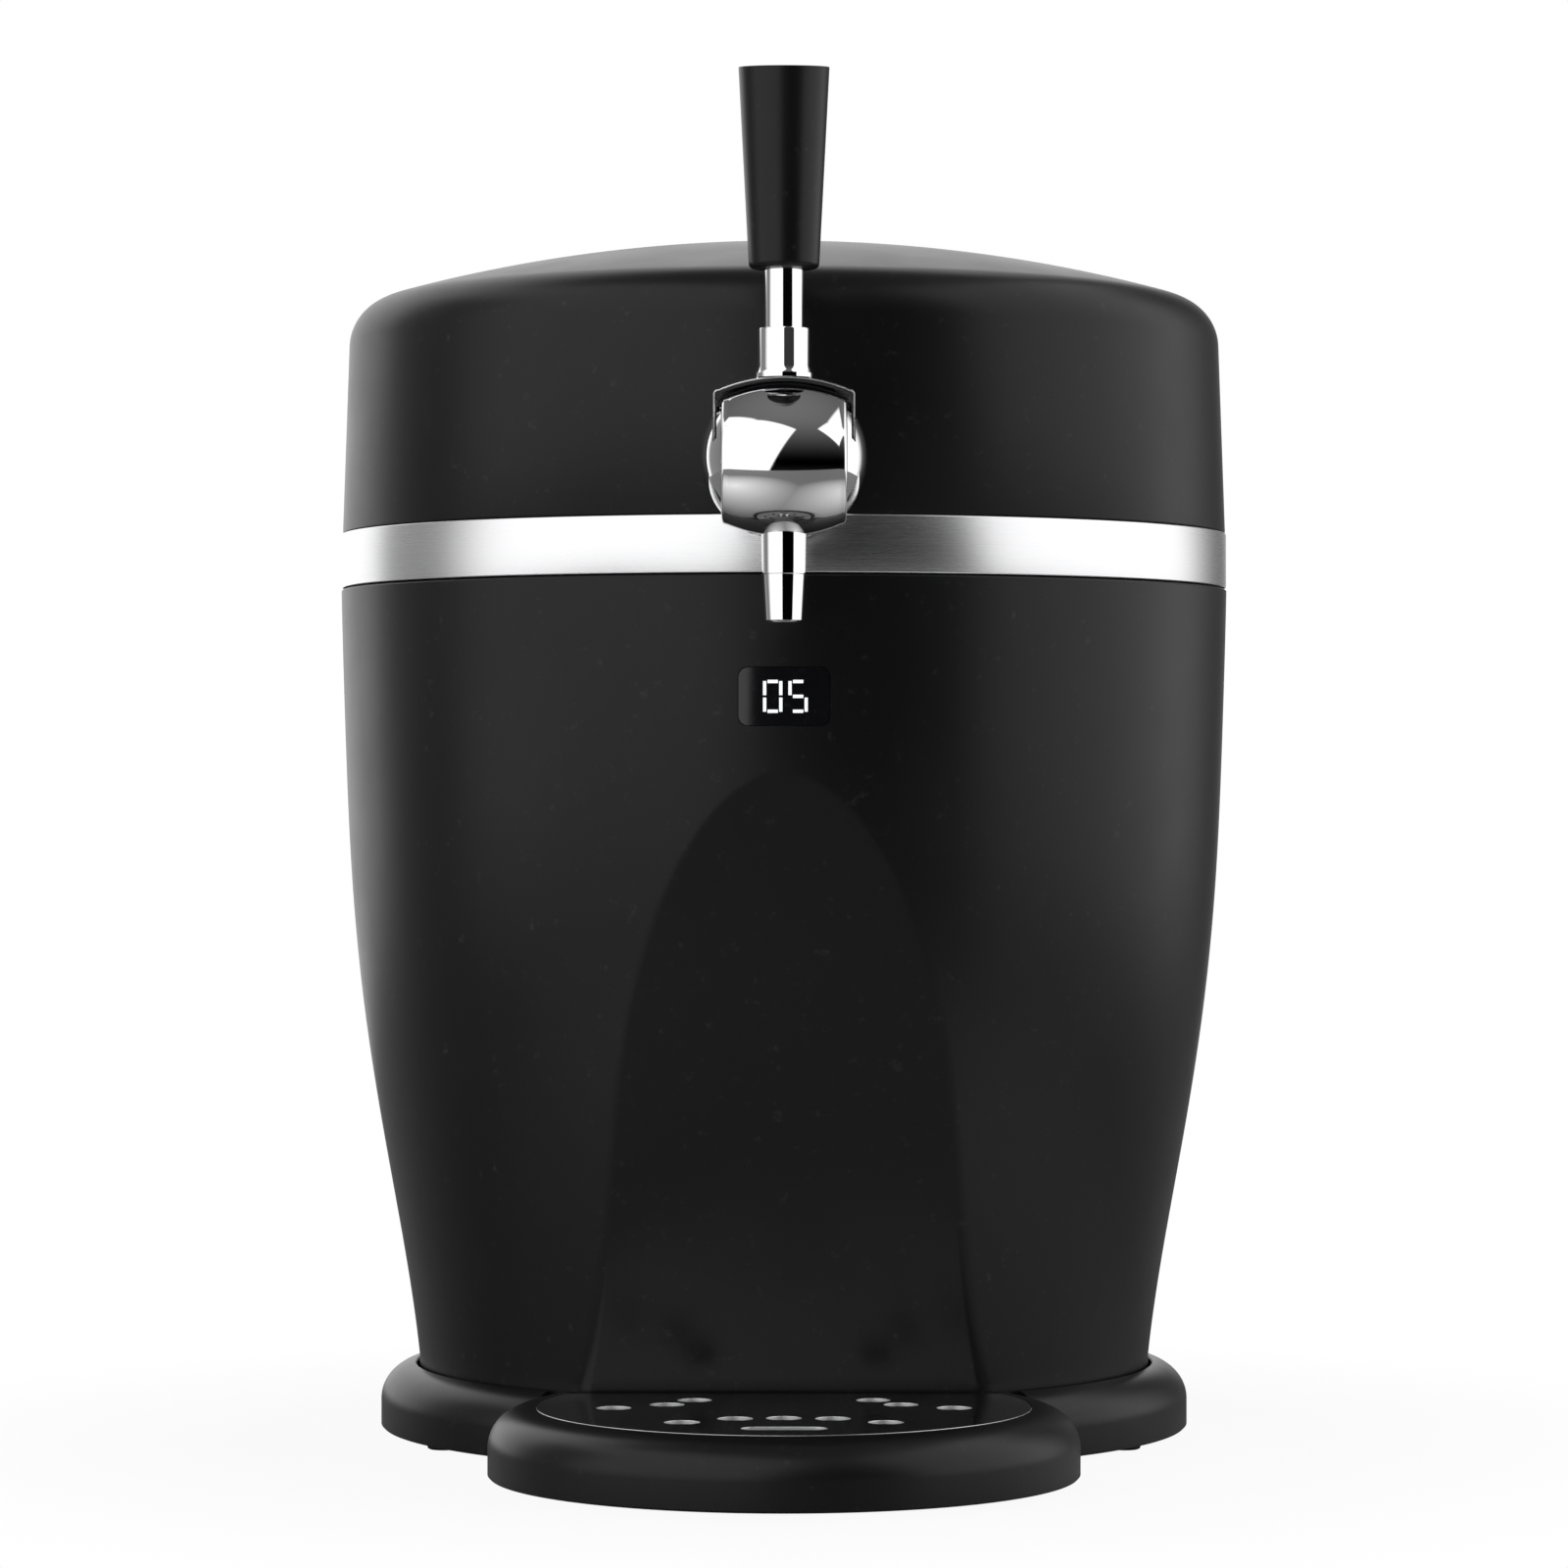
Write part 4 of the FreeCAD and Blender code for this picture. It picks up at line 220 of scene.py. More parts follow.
class MetalSettings(bpy.types.PropertyGroup):
    chrome: colour_of("Chrome", "Colour of the tap", 0.88, 0.88, 0.89)
    band: colour_of("Band", "Colour of the lid's band", 0.86, 0.86, 0.87)


class StageSettings(bpy.types.PropertyGroup):
    distance: length_of("Camera distance", "From the camera to the keg's axis", 1.691, 0.5, 10)
    eye: length_of("Eye height", "The camera's height above the table", 0.1999, 0, 3)
    lens: FloatProperty(name="Lens", description="Focal length in millimetres", default=124.2, min=20, max=300)
    panels: FloatProperty(name="Light panels", description="Strength of the white panels beside the camera",
                          default=1.25, min=0, max=5)
    fill: FloatProperty(name="Fill", description="How much more of the room's light matt surfaces take",
                        default=0.7, min=0, max=5)


class DispenserSettings(bpy.types.PropertyGroup):
    body: PointerProperty(type=BodySettings)
    metal: PointerProperty(type=MetalSettings)
    stage: PointerProperty(type=StageSettings)


def settings():
    return bpy.context.scene.dispenser


# ---- shaping helpers ----

# Points this close are one
DOUBLE = 1e-6


class Pen:
    """Draws an outline in the XZ plane from straight runs and arcs."""

    def __init__(self, r, z):
        self.bm = bmesh.new()
        self.start = self.tip = self.bm.verts.new((r, 0, z))

    def line(self, *places):
        for r, z in places:
            vert = self.bm.verts.new((r, 0, z))
            self.bm.edges.new((self.tip, vert))
            self.tip = vert
        return self

    def arc(self, centre_r, centre_z, angle, steps):
        """Turns the tip about a centre; a positive angle goes from up towards outwards."""
        made = bmesh.ops.spin(self.bm, geom=[self.tip], cent=(centre_r, 0, centre_z), axis=(0, 1, 0),
                              angle=angle, steps=steps)
        self.tip = [g for g in made["geom_last"] if isinstance(g, bmesh.types.BMVert)][0]
        return self

    def close(self):
        self.bm.edges.new((self.tip, self.start))
        return self

    def turn(self, steps, centre=(0, 0, 0), axis=None):
        """The form that the outline makes when it turns about the upright through the origin."""
        bm = self.bm
        bmesh.ops.spin(bm, geom=bm.verts[:] + bm.edges[:], cent=(0, 0, 0), axis=(0, 0, 1), angle=2 * pi,
                       steps=steps, use_merge=True)
        cleaned(bm)
        if axis:
            bm.transform(Vector((0, 0, 1)).rotation_difference(Vector(axis)).to_matrix().to_4x4())
        bm.transform(Matrix.Translation(centre))
        return bm


def cleaned(bm):
    bmesh.ops.remove_doubles(bm, verts=bm.verts[:], dist=DOUBLE)
    bare = [e for e in bm.edges if not e.link_faces]
    bmesh.ops.delete(bm, geom=bare, context="EDGES")
    bmesh.ops.recalc_face_normals(bm, faces=bm.faces[:])
    return bm


def placed(bm):
    """Moves a form that was drawn about the keg's axis to its place."""
    bm.transform(Matrix.Translation((0, KEG_Y, 0)))
    return bm


def box_form(x0, x1, y0, y1, z0, z1):
    bm = bmesh.new()
    bmesh.ops.create_cube(bm, size=1)
    bmesh.ops.scale(bm, vec=(x1 - x0, y1 - y0, z1 - z0), verts=bm.verts[:])
    bmesh.ops.translate(bm, vec=((x0 + x1) / 2, (y0 + y1) / 2, (z0 + z1) / 2), verts=bm.verts[:])
    return bm


def rod_form(radius, foot, top, segments=64):
    """A cylinder between two points."""
    foot, top = Vector(foot), Vector(top)
    bm = bmesh.new()
    bmesh.ops.create_cone(bm, cap_ends=True, segments=segments, radius1=radius, radius2=radius,
                          depth=(top - foot).length)
    turn = Vector((0, 0, 1)).rotation_difference(top - foot)
    bm.transform(Matrix.Translation((foot + top) / 2) @ turn.to_matrix().to_4x4())
    return bm


def upright(radius, y, low_z, high_z, segments=64, x=0):
    return rod_form(radius, (x, y, low_z), (x, y, high_z), segments)


def hub_forms(radius, near, far):
    """A short round boss on each side of the pivot, from one distance to another."""
    return [rod_form(radius, (side * near, PIVOT_Y, PIVOT_Z), (side * far, PIVOT_Y, PIVOT_Z)) for side in (-1, 1)]


def grown(sizes, by):
    return tuple(size + by for size in sizes)


def sector(half_w, mid_r, side_r, corner, from_deg, to_deg, steps=48, centre=(PIVOT_Y, PIVOT_Z)):
    """A crowned barrel's sector, as a rule about the tap's pivot; degrees run from upright towards the front."""
    sag = mid_r - side_r
    flat = half_w - corner
    crown = (flat * flat + sag * sag) / (2 * sag)
    half = asin(flat / crown)
    pen = Pen(half_w, 0).line((half_w, side_r - corner)).arc(flat, side_r - corner, -pi / 2, 6)
    pen.arc(0, mid_r - crown, -2 * half, 28).arc(-flat, side_r - corner, -pi / 2, 6).line((-half_w, 0)).close()
    bm = pen.bm
    whole = to_deg - from_deg >= 360
    if not whole:
        bmesh.ops.contextual_create(bm, geom=bm.verts[:] + bm.edges[:])
    bm.transform(Matrix.Rotation(radians(from_deg), 4, "X"))
    bmesh.ops.spin(bm, geom=bm.verts[:] + bm.edges[:] + bm.faces[:], cent=(0, 0, 0), axis=(1, 0, 0),
                   angle=radians(to_deg - from_deg), steps=steps, use_merge=whole)
    cleaned(bm)
    bm.transform(Matrix.Translation((0, *centre)))
    return bm


def rounded_edges(bm, width, segments, chosen):
    """Bevels the edges that the test picks."""
    bmesh.ops.bevel(bm, geom=[e for e in bm.edges if chosen(e)], offset=width, offset_type="OFFSET",
                    segments=segments, profile=0.5, affect="EDGES", material=-1, clamp_overlap=True)
    return bm


def along(axis):
    """A test for the edges that run along an axis."""
    return lambda edge: abs((edge.verts[0].co - edge.verts[1].co).normalized()[axis]) > 0.9


def joined(forms):
    """Several closed forms in one, for a cutter."""
    whole = bmesh.new()
    for form in forms:
        mesh = bpy.data.meshes.new("part")
        form.to_mesh(mesh)
        form.free()
        whole.from_mesh(mesh)
        bpy.data.meshes.remove(mesh)
    return whole


def as_object(bm, name):
    mesh = bpy.data.meshes.new(name)
    bm.to_mesh(mesh)
    bm.free()
    thing = bpy.data.objects.new(name, mesh)
    bpy.context.scene.collection.objects.link(thing)
    return thing


def carved(bm, cutters, operation="DIFFERENCE"):
    """The form less, joined with or shared by other closed forms."""
    form = as_object(bm, "form")
    tools = []
    for index, cutter in enumerate(cutters):
        tool = as_object(cutter, "tool_%d" % index)
        tools.append(tool)
        cut = form.modifiers.new("cut_%d" % index, "BOOLEAN")
        cut.operation = operation
        cut.object = tool
        cut.solver = "EXACT"
    graph = bpy.context.evaluated_depsgraph_get()
    mesh = bpy.data.meshes.new_from_object(form.evaluated_get(graph))
    result = bmesh.new()
    result.from_mesh(mesh)
    bpy.data.meshes.remove(mesh)
    for thing in [form] + tools:
        mesh = thing.data
        bpy.data.objects.remove(thing)
        bpy.data.meshes.remove(mesh)
    if not result.faces:
        raise RuntimeError("a cut left nothing")
    return result


def piece(bm, name, node, finish=None, sharp=30, edge=0.0, segments=2):
    """Turns a finished form into an object: it stands in for its node, which is hidden, and rides on that node's
    body.
    """
    thing = as_object(bm, name)
    thing.data.materials.append(MATERIALS[finish or SLOT_OF[node]])
    thing.data.polygons.foreach_set("use_smooth", [True] * len(thing.data.polygons))
    thing.data.set_sharp_from_angle(angle=radians(sharp))
    if edge:
        soft = thing.modifiers.new("soft_edges", "BEVEL")
        soft.width = edge
        soft.segments = segments
        soft.limit_method = "ANGLE"
        soft.angle_limit = radians(sharp)
        soft.harden_normals = True
    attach(thing, BODY_OF[node])
    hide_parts(node)
    return thing


def softened(node, edge):
    """A node's own form with its doubles merged, its flats joined and its edges eased."""
    bm = bmesh.new()
    bm.from_mesh(NODES[node].data)
    bmesh.ops.remove_doubles(bm, verts=bm.verts[:], dist=DOUBLE)
    bmesh.ops.dissolve_limit(bm, angle_limit=radians(0.5), verts=bm.verts[:], edges=bm.edges[:])
    piece(bm, node + "_form", node, edge=edge)


# ---- shaders ----

class Sheet:
    """A node tree that is written from left to right."""

    def __init__(self, tree):
        self.tree = tree
        self.nodes = tree.nodes

    def add(self, kind, **values):
        node = self.nodes.new(kind)
        for name, value in values.items():
            setattr(node, name, value)
        return node

    def put(self, target, source):
        """Links an output to the socket, or sets a constant on it."""
        if isinstance(source, bpy.types.NodeSocket):
            self.tree.links.new(source, target)
        else:
            target.default_value = source

    def put_all(self, node, **sources):
        """Fills sockets by their names, with underscores for the spaces."""
        for name, source in sources.items():
            self.put(node.inputs[name.replace("_", " ")], source)

    def place(self, name="Object"):
        return self.add("ShaderNodeTexCoord").outputs[name]

    def noise(self, place, scale, detail=2.0, roughness=0.5):
        node = self.add("ShaderNodeTexNoise")
        self.put_all(node, Scale=scale, Detail=detail, Roughness=roughness, Vector=place)
        return node.outputs["Fac"]

    def math(self, operation, *values):
        node = self.add("ShaderNodeMath", operation=operation)
        for socket, value in zip(node.inputs, values):
            self.put(socket, value)
        return node.outputs[0]

    def vector(self, operation, first, second=None, scale=None):
        """A vector step with a fixed second vector or scale; gives whichever output it has."""
        node = self.add("ShaderNodeVectorMath", operation=operation)
        self.put(node.inputs[0], first)
        if second is not None:
            self.put(node.inputs[1], second)
        if scale is not None:
            self.put(node.inputs["Scale"], scale)
        return node.outputs["Vector" if scale is not None else "Value"]

    def remap(self, value, from_min, from_max, to_min, to_max):
        node = self.add("ShaderNodeMapRange")
        self.put_all(node, From_Min=from_min, From_Max=from_max, To_Min=to_min, To_Max=to_max, Value=value)
        return node.outputs["Result"]

    def mix(self, factor, first, second):
        """Goes from the first colour to the second one."""
        node = self.add("ShaderNodeMix", data_type="RGBA")
        self.put_all(node, Factor=factor, A=first, B=second)
        return node.outputs["Result"]

    def straight_rays(self):
        """1 for what the camera sees itself or through something clear."""
        rays = self.add("ShaderNodeLightPath").outputs
        return self.math("MAXIMUM", rays["Is Camera Ray"], rays["Is Transmission Ray"])


def grey(level):
    return level, level, level, 1


WHITE = grey(1)


FLOAT = "NodeSocketFloat"
SOCKETS = {"Colour": ("NodeSocketColor", (0.02, 0.02, 0.02, 1)), "Roughness": (FLOAT, 0.4),
           "Variation": (FLOAT, 0.03), "Height": (FLOAT, 0.0)}


def effect_group(name, build, *outputs):
    """A shared effect that takes roughness, variation and, if it gives a colour, a colour."""
    tree = bpy.data.node_groups.new(name, "ShaderNodeTree")
    for socket in [each for each in outputs if each == "Colour"] + ["Roughness", "Variation"]:
        kind, default = SOCKETS[socket]
        tree.interface.new_socket(socket, in_out="INPUT", socket_type=kind).default_value = default
    for socket in outputs:
        tree.interface.new_socket(socket, in_out="OUTPUT", socket_type=SOCKETS[socket][0])
    sheet = Sheet(tree)
    build(sheet, sheet.add("NodeGroupInput").outputs, sheet.add("NodeGroupOutput").inputs)
    return tree


def build_moulded(sheet, given, out):
    """Moulded plastic: fine grain, soft unevenness of the gloss and a little dust in the tone."""
    place = sheet.place()
    sheet.put(out["Height"], sheet.noise(place, 1400, 2, 0.6))
    wide = sheet.remap(sheet.noise(place, 22, 4, 0.6), 0.3, 0.7, -1.0, 1.0)
    sheet.put(out["Roughness"], sheet.math("MULTIPLY_ADD", wide, given["Variation"], given["Roughness"]))
    dust = sheet.remap(sheet.noise(place, 260, 3, 0.7), 0.62, 0.82, 0.0, 0.12)
    sheet.put(out["Colour"], sheet.mix(dust, given["Colour"], (0.16, 0.16, 0.165, 1)))


def build_brushed(sheet, given, out):
    """Fine brushing round the upright axis, as lines of height and gloss."""
    stretch = sheet.add("ShaderNodeMapping")
    sheet.put_all(stretch, Scale=(6, 6, 5200), Vector=sheet.place())
    lines = sheet.noise(stretch.outputs["Vector"], 1.0, 3, 0.7)
    sheet.put(out["Height"], lines)
    gloss = sheet.remap(lines, 0.3, 0.7, -1.0, 1.0)
    sheet.put(out["Roughness"], sheet.math("MULTIPLY_ADD", gloss, given["Variation"], given["Roughness"]))


def build_handled(sheet, given, out):
    """Polished metal: faint smears where hands and cloths have been."""
    smear = sheet.remap(sheet.noise(sheet.place(), 38, 5, 0.65), 0.45, 0.8, 0.0, 1.0)
    sheet.put(out["Roughness"], sheet.math("MULTIPLY_ADD", smear, given["Variation"], given["Roughness"]))


EFFECTS = {}
MATERIALS = {}


def make_effects():
    EFFECTS["moulded"] = effect_group("moulded_plastic", build_moulded, "Colour", "Roughness", "Height")
    EFFECTS["brushed"] = effect_group("brushed_metal", build_brushed, "Roughness", "Height")
    EFFECTS["handled"] = effect_group("handled_metal", build_handled, "Roughness")


def principled(name):
    """A new material's sheet and its shader."""
    material = bpy.data.materials.new(name)
    material.use_nodes = True
    sheet = Sheet(material.node_tree)
    MATERIALS[name] = material
    return sheet, sheet.nodes["Principled BSDF"]


def finish_material(name, effect, colour, roughness, variation, bump=0.0, depth=0.0, specular=0.5,
                    transmission=0.0):
    """A material whose surface variation comes from one of the shared effects; the bump's depth is in mm."""
    sheet, shader = principled(name)
    tint = (*colour, 1)
    sheet.put_all(shader, Metallic=0.0 if effect == "moulded" else 1.0, Specular_IOR_Level=specular,
                  Transmission_Weight=transmission, Base_Color=tint)
    group = sheet.add("ShaderNodeGroup", node_tree=EFFECTS[effect])
    sheet.put_all(group, Roughness=roughness, Variation=variation)
    if "Colour" in group.inputs:
        sheet.put_all(group, Colour=tint)
        sheet.put_all(shader, Base_Color=group.outputs["Colour"])
    sheet.put_all(shader, Roughness=group.outputs["Roughness"])
    if bump:
        relief = sheet.add("ShaderNodeBump")
        sheet.put_all(relief, Strength=bump, Distance=depth * MM, Height=group.outputs["Height"])
        sheet.put_all(shader, Normal=relief.outputs["Normal"])


def lit_material(name, colour, strength):
    """Lit segments, a little uneven as light guides are."""
    sheet, shader = principled(name)
    uneven = sheet.remap(sheet.noise(sheet.place(), 900, 2), 0.35, 0.65, 0.0, 1.0)
    glow = sheet.mix(uneven, (*(c * 0.9 for c in colour), 1), (*colour, 1))
    sheet.put_all(shader, Emission_Color=glow, Emission_Strength=strength, Base_Color=(0.3, 0.31, 0.32, 1),
                  Roughness=0.3)


# Effect, colour, roughness and its variation, then the bump's strength and depth in mm, gloss and clearness
FINISHES = {
    "black_fitting": ("moulded", (0.022, 0.022, 0.023), 0.5, 0.04, 0.25, 0.08),
    "black_gloss": ("moulded", (0.006, 0.006, 0.007), 0.09, 0.02),
    "grey_plastic": ("moulded", (0.52, 0.53, 0.54), 0.45, 0.04, 0.15, 0.06),
    "foam": ("moulded", (0.78, 0.7, 0.48), 0.85, 0.05, 0.6, 0.4),
    "rubber": ("moulded", (0.02, 0.02, 0.02), 0.75, 0.05, 0.3, 0.1),
    "silicone": ("moulded", (0.72, 0.74, 0.74), 0.35, 0.03, 0.0, 0.0, 0.5, 0.25),
    "circuit_board": ("moulded", (0.02, 0.16, 0.06), 0.4, 0.03),
    "ceramic": ("moulded", (0.84, 0.84, 0.81), 0.3, 0.03),
    "mirror_steel": ("handled", (0.8, 0.8, 0.81), 0.045, 0.04),
    "cut_steel": ("handled", (0.9, 0.9, 0.91), 0.5, 0.04),
    "aluminium": ("brushed", (0.74, 0.75, 0.76), 0.34, 0.06, 0.06, 0.03),
    "steel": ("handled", (0.5, 0.5, 0.51), 0.26, 0.1),
    "brass": ("handled", (0.72, 0.52, 0.22), 0.24, 0.1),
}


class DISPENSER_OT_materials(bpy.types.Operator):
    """Mixes every finish of the dispenser"""
    bl_idname = "dispenser.materials"
    bl_label = "Finishes"

    def execute(self, context):
        body = settings().body
        metal = settings().metal
        make_effects()
        finish_material("black_satin", "moulded", body.colour, body.roughness, 0.03, 0.12, 0.05, specular=0.28)
        finish_material("chrome", "handled", metal.chrome, 0.035, 0.03)
        finish_material("brushed_steel", "brushed", metal.band, 0.27, 0.008, 0.004, 0.02)
        for name, values in FINISHES.items():
            finish_material(name, *values)
        lit_material("lit_digits", (0.86, 0.9, 0.92), 1.0)
        for node, slot in SLOT_OF.items():
            NODES[node].data.materials.clear()
            NODES[node].data.materials.append(MATERIALS[slot])
        return {"FINISHED"}


# ---- stage ----

# How much higher than the eye the picture's middle is, as a share of its width
LENS_SHIFT = 0.0025
TABLE_HALF = 1.4
# The table's colour with painted light: painted shade away from each pool, painted light inside it
TABLE_PAINTED_SHADE = grey(0.12)
TABLE_PAINTED_LIGHT = (0.72, 0.72, 0.71, 1)
# Centre on the table and reach of the painted pool of light under each panel, a lighter patch in the table's colour
PAINTED_LIGHT_POOLS = (((-0.3, -0.42, 0), 0.42), ((0.3, -0.24, 0), 0.36))
# How far the object's shadow shows, from full to none, and its strength
SHADOW_REACH = (0.17, 0.32)
SHADOW = 0.06
# Bearing from the camera's direction, to the right, and tone of the walls' lower part
WALL_TONES = ((-180, 1.0), (-131, 1.0), (-124, 0.22), (-98, 0.16), (-80, 1.0), (124, 1.0), (133, 0.46), (141, 0.19),
              (150, 0.06), (162, 0.14), (175, 1.0))


# Heights, from and to, between which the left panel ends and the walls turn white; 1 is straight up
PANEL_TOP = (0.825, 0.81)
WALLS_TOP = (0.6, 0.68)
# The dark gap's tone overhead
GAP_TONE = 0.17
# Each panel's foot, inner upper corner, a far point of its upper edge and a place on it, as bearings and elevations
LEFT_PANEL = ((-8, 0), (14, 55), (-117, 43), (-40, 20))
RIGHT_PANEL = ((51, 0), (41, 55), (126, 58), (80, 20))


def toward(bearing, elevation):
    """A direction in the room; bearings count from the camera to the right, in degrees."""
    turn, rise = radians(bearing), radians(elevation)
    return Vector((sin(turn) * cos(rise), -cos(turn) * cos(rise), sin(rise)))


class DISPENSER_OT_stage(bpy.types.Operator):
    """Sets up the pale floor, the white room and the camera"""
    bl_idname = "dispenser.stage"
    bl_label = "Stage"

    def execute(self, context):
        stage = settings().stage
        scene = context.scene
        scene.view_settings.view_transform = "Standard"
        self.camera(scene, stage)
        self.floor()
        self.room(scene, stage)
        return {"FINISHED"}

    def camera(self, scene, stage):
        data = bpy.data.cameras.new("camera")
        data.sensor_width = 36
        data.lens = stage.lens
        data.shift_y = LENS_SHIFT
        data.clip_start = 0.01
        camera = bpy.data.objects.new("camera", data)
        camera.location = (0, KEG_Y - stage.distance, stage.eye)
        camera.rotation_euler = (pi / 2, 0, 0)
        scene.collection.objects.link(camera)
        scene.camera = camera

    def floor(self):
        """A table that looks white, and that metal sees as grey with a painted pool of light under each panel."""
        bm = bmesh.new()
        bmesh.ops.create_grid(bm, x_segments=1, y_segments=1, size=TABLE_HALF)
        floor = as_object(bm, "table")
        sheet, shader = principled("table")
        place = sheet.place()
        # Painted pool of light: the table's colour goes from painted shade to painted light towards each pool's
        # centre
        painted_pools = [sheet.remap(sheet.vector("DISTANCE", place, centre), 0.0, reach, 1.0, 0.0)
                 for centre, reach in PAINTED_LIGHT_POOLS]
        tone = sheet.mix(sheet.math("MAXIMUM", *painted_pools), TABLE_PAINTED_SHADE, TABLE_PAINTED_LIGHT)
        sheet.put_all(shader, Roughness=0.7, Base_Color=tone)
        light = sheet.add("ShaderNodeEmission")
        sheet.put_all(light, Color=WHITE)
        white = sheet.remap(sheet.vector("LENGTH", place), *SHADOW_REACH, 1 - SHADOW, 1.0)
        blend = sheet.add("ShaderNodeMixShader")
        sheet.put(blend.inputs["Fac"], sheet.math("MULTIPLY", sheet.straight_rays(), white))
        sheet.put(blend.inputs[1], shader.outputs["BSDF"])
        sheet.put(blend.inputs[2], light.outputs["Emission"])
        sheet.put(sheet.nodes["Material Output"].inputs["Surface"], blend.outputs["Shader"])
        floor.data.materials.append(MATERIALS["table"])

    def room(self, scene, stage):
        """Two tall white panels beside the camera, a dark gap between them, and pale walls behind."""
        world = bpy.data.worlds.new("room")
        scene.world = world
        world.use_nodes = True
        sheet = Sheet(world.node_tree)
        sky = sheet.nodes["Background"]
        way = sheet.place("Generated")
        split = sheet.add("ShaderNodeSeparateXYZ")
        sheet.put_all(split, Vector=way)
        across, front, height = split.outputs
        bearing = sheet.math("ARCTAN2", across, sheet.math("MULTIPLY", front, -1.0))
        walls = sheet.add("ShaderNodeValToRGB")
        sheet.put_all(walls, Fac=sheet.remap(bearing, -pi, pi, 0.0, 1.0))
        ramp = walls.color_ramp
        for index, (angle, tone) in enumerate(WALL_TONES):
            place = (angle + 180) / 360
            stop = ramp.elements[index] if index < 2 else ramp.elements.new(place)
            stop.position = place
            stop.color = grey(tone)

        def side_of(first, second, inner, soft=0.012):
            """1 on the inner point's side of the straight edge through two points of the sky."""
            normal = toward(*first).cross(toward(*second)).normalized()
            if normal.dot(toward(*inner)) < 0:
                normal.negate()
            return sheet.remap(sheet.vector("DOT_PRODUCT", way, normal), -soft, soft, 0.0, 1.0)

        def edges_of(foot, corner, far, inner):
            return side_of(foot, corner, inner), side_of(corner, far, inner)

        left, left_top = edges_of(*LEFT_PANEL)
        level = sheet.remap(height, *PANEL_TOP, 0.0, 1.0)
        lit = sheet.math("MAXIMUM", sheet.math("MULTIPLY", left, sheet.math("MAXIMUM", level, left_top)),
                         sheet.math("MULTIPLY", *edges_of(*RIGHT_PANEL)))
        dark = sheet.math("MULTIPLY", sheet.math("MULTIPLY", height, height), GAP_TONE)
        pale = sheet.mix(sheet.remap(height, *WALLS_TOP, 0.0, 1.0), walls.outputs["Color"], WHITE)
        room = sheet.mix(lit, dark, sheet.vector("SCALE", pale, scale=stage.panels))
        matt = sheet.add("ShaderNodeLightPath").outputs["Is Diffuse Ray"]
        sheet.put_all(sky, Color=sheet.mix(sheet.straight_rays(), room, WHITE),
                      Strength=sheet.math("ADD", sheet.math("MULTIPLY", matt, stage.fill), 1.0))


# ---- body ----

def barrel_radius(z):
    share = (z - BASE_TOP) / (SHELL_TOP - BASE_TOP)
    share = min(max(share, 0.0), 1.0)
    return MM * sum(factor * share ** power for power, factor in enumerate(BARREL))


def recess_y(z):
    """The recess wall's place in front of the keg's axis, at a height."""
    return RECESS_CENTRE_Y - sqrt(RECESS_R ** 2 - (z - RECESS_CENTRE_Z) ** 2)


def recess_depth(x, z):
    """How far the recess wall lies behind the barrel's front; less than nothing beside the recess."""
    return recess_y(max(z, BASE_TOP)) + sqrt(max(barrel_radius(z) ** 2 - x * x, 0.0))


def recess_slope(x, z):
    """How much the recess wall turns away from the barrel at a place."""
    step = 0.1 * MM
    depth = recess_depth(x, z)
    return sqrt((recess_depth(x + step, z) - depth) ** 2 + (recess_depth(x, z + step) - depth) ** 2) / step


def fine_edge(bm):
    """Splits the barrel's faces finely along the edge of the recess."""
    reach = 5 * MM
    under_lid = SHELL_TOP - 20 * MM
    near = set()
    for vert in bm.verts:
        x, y, z = vert.co
        outside = barrel_radius(z) - sqrt(x * x + y * y) < 0.01 * MM and y < 0 and z < under_lid
        if outside and abs(recess_depth(x, z)) < reach * recess_slope(x, z) and abs(x) < KEEP_R:
            near.add(vert)
    split = [e for e in bm.edges if e.verts[0] in near and e.verts[1] in near]
    made = bmesh.ops.subdivide_edges(bm, edges=split, cuts=3, use_grid_fill=True)["geom_inner"]
    for vert in made:
        if isinstance(vert, bmesh.types.BMVert):
            share = barrel_radius(vert.co.z) / vert.co.xy.length
            vert.co.x *= share
            vert.co.y *= share
    return bm


def pressed(bm, radius):
    """Presses the recess for the glass into the barrel and rounds its edge."""
    least, most = 0.1 * MM, 3.2 * MM
    for vert in bm.verts:
        x, y, z = vert.co
        inset = max(0.0, min(SHELL_WALL, barrel_radius(z) - sqrt(x * x + y * y)))
        wall = recess_y(max(z, BASE_TOP)) + inset
        apart = abs(y - wall)
        edge = min(max(radius * recess_slope(x, z) ** 2 / 2, least), most)
        vert.co.y = max(y, wall)
        if apart < edge:
            vert.co.y += (edge - apart) ** 2 / (4 * edge)
    return bm


def display_block(grow):
    """A block with the display window's rounded outline, through the shell's front."""
    lower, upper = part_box("display_window")
    bm = box_form(lower.x - grow, upper.x + grow, -0.16, -0.125, lower.z - grow, upper.z + grow)
    return rounded_edges(bm, 2.8 * MM, 6, along(1))


def vent_forms():
    """Six upright slots with round ends on each side of the pocket."""
    forms = []
    for side in (-1, 1):
        for index in range(6):
            form = box_form(0.1, 0.16, -VENT_HALF_W, VENT_HALF_W, VENT_LOW, VENT_HIGH)
            rounded_edges(form, VENT_HALF_W - 0.01 * MM, 5, along(0))
            form.transform(Matrix.Rotation(radians(90 + side * (VENT_FIRST + VENT_STEP * index)), 4, "Z"))
            forms.append(form)
    return forms


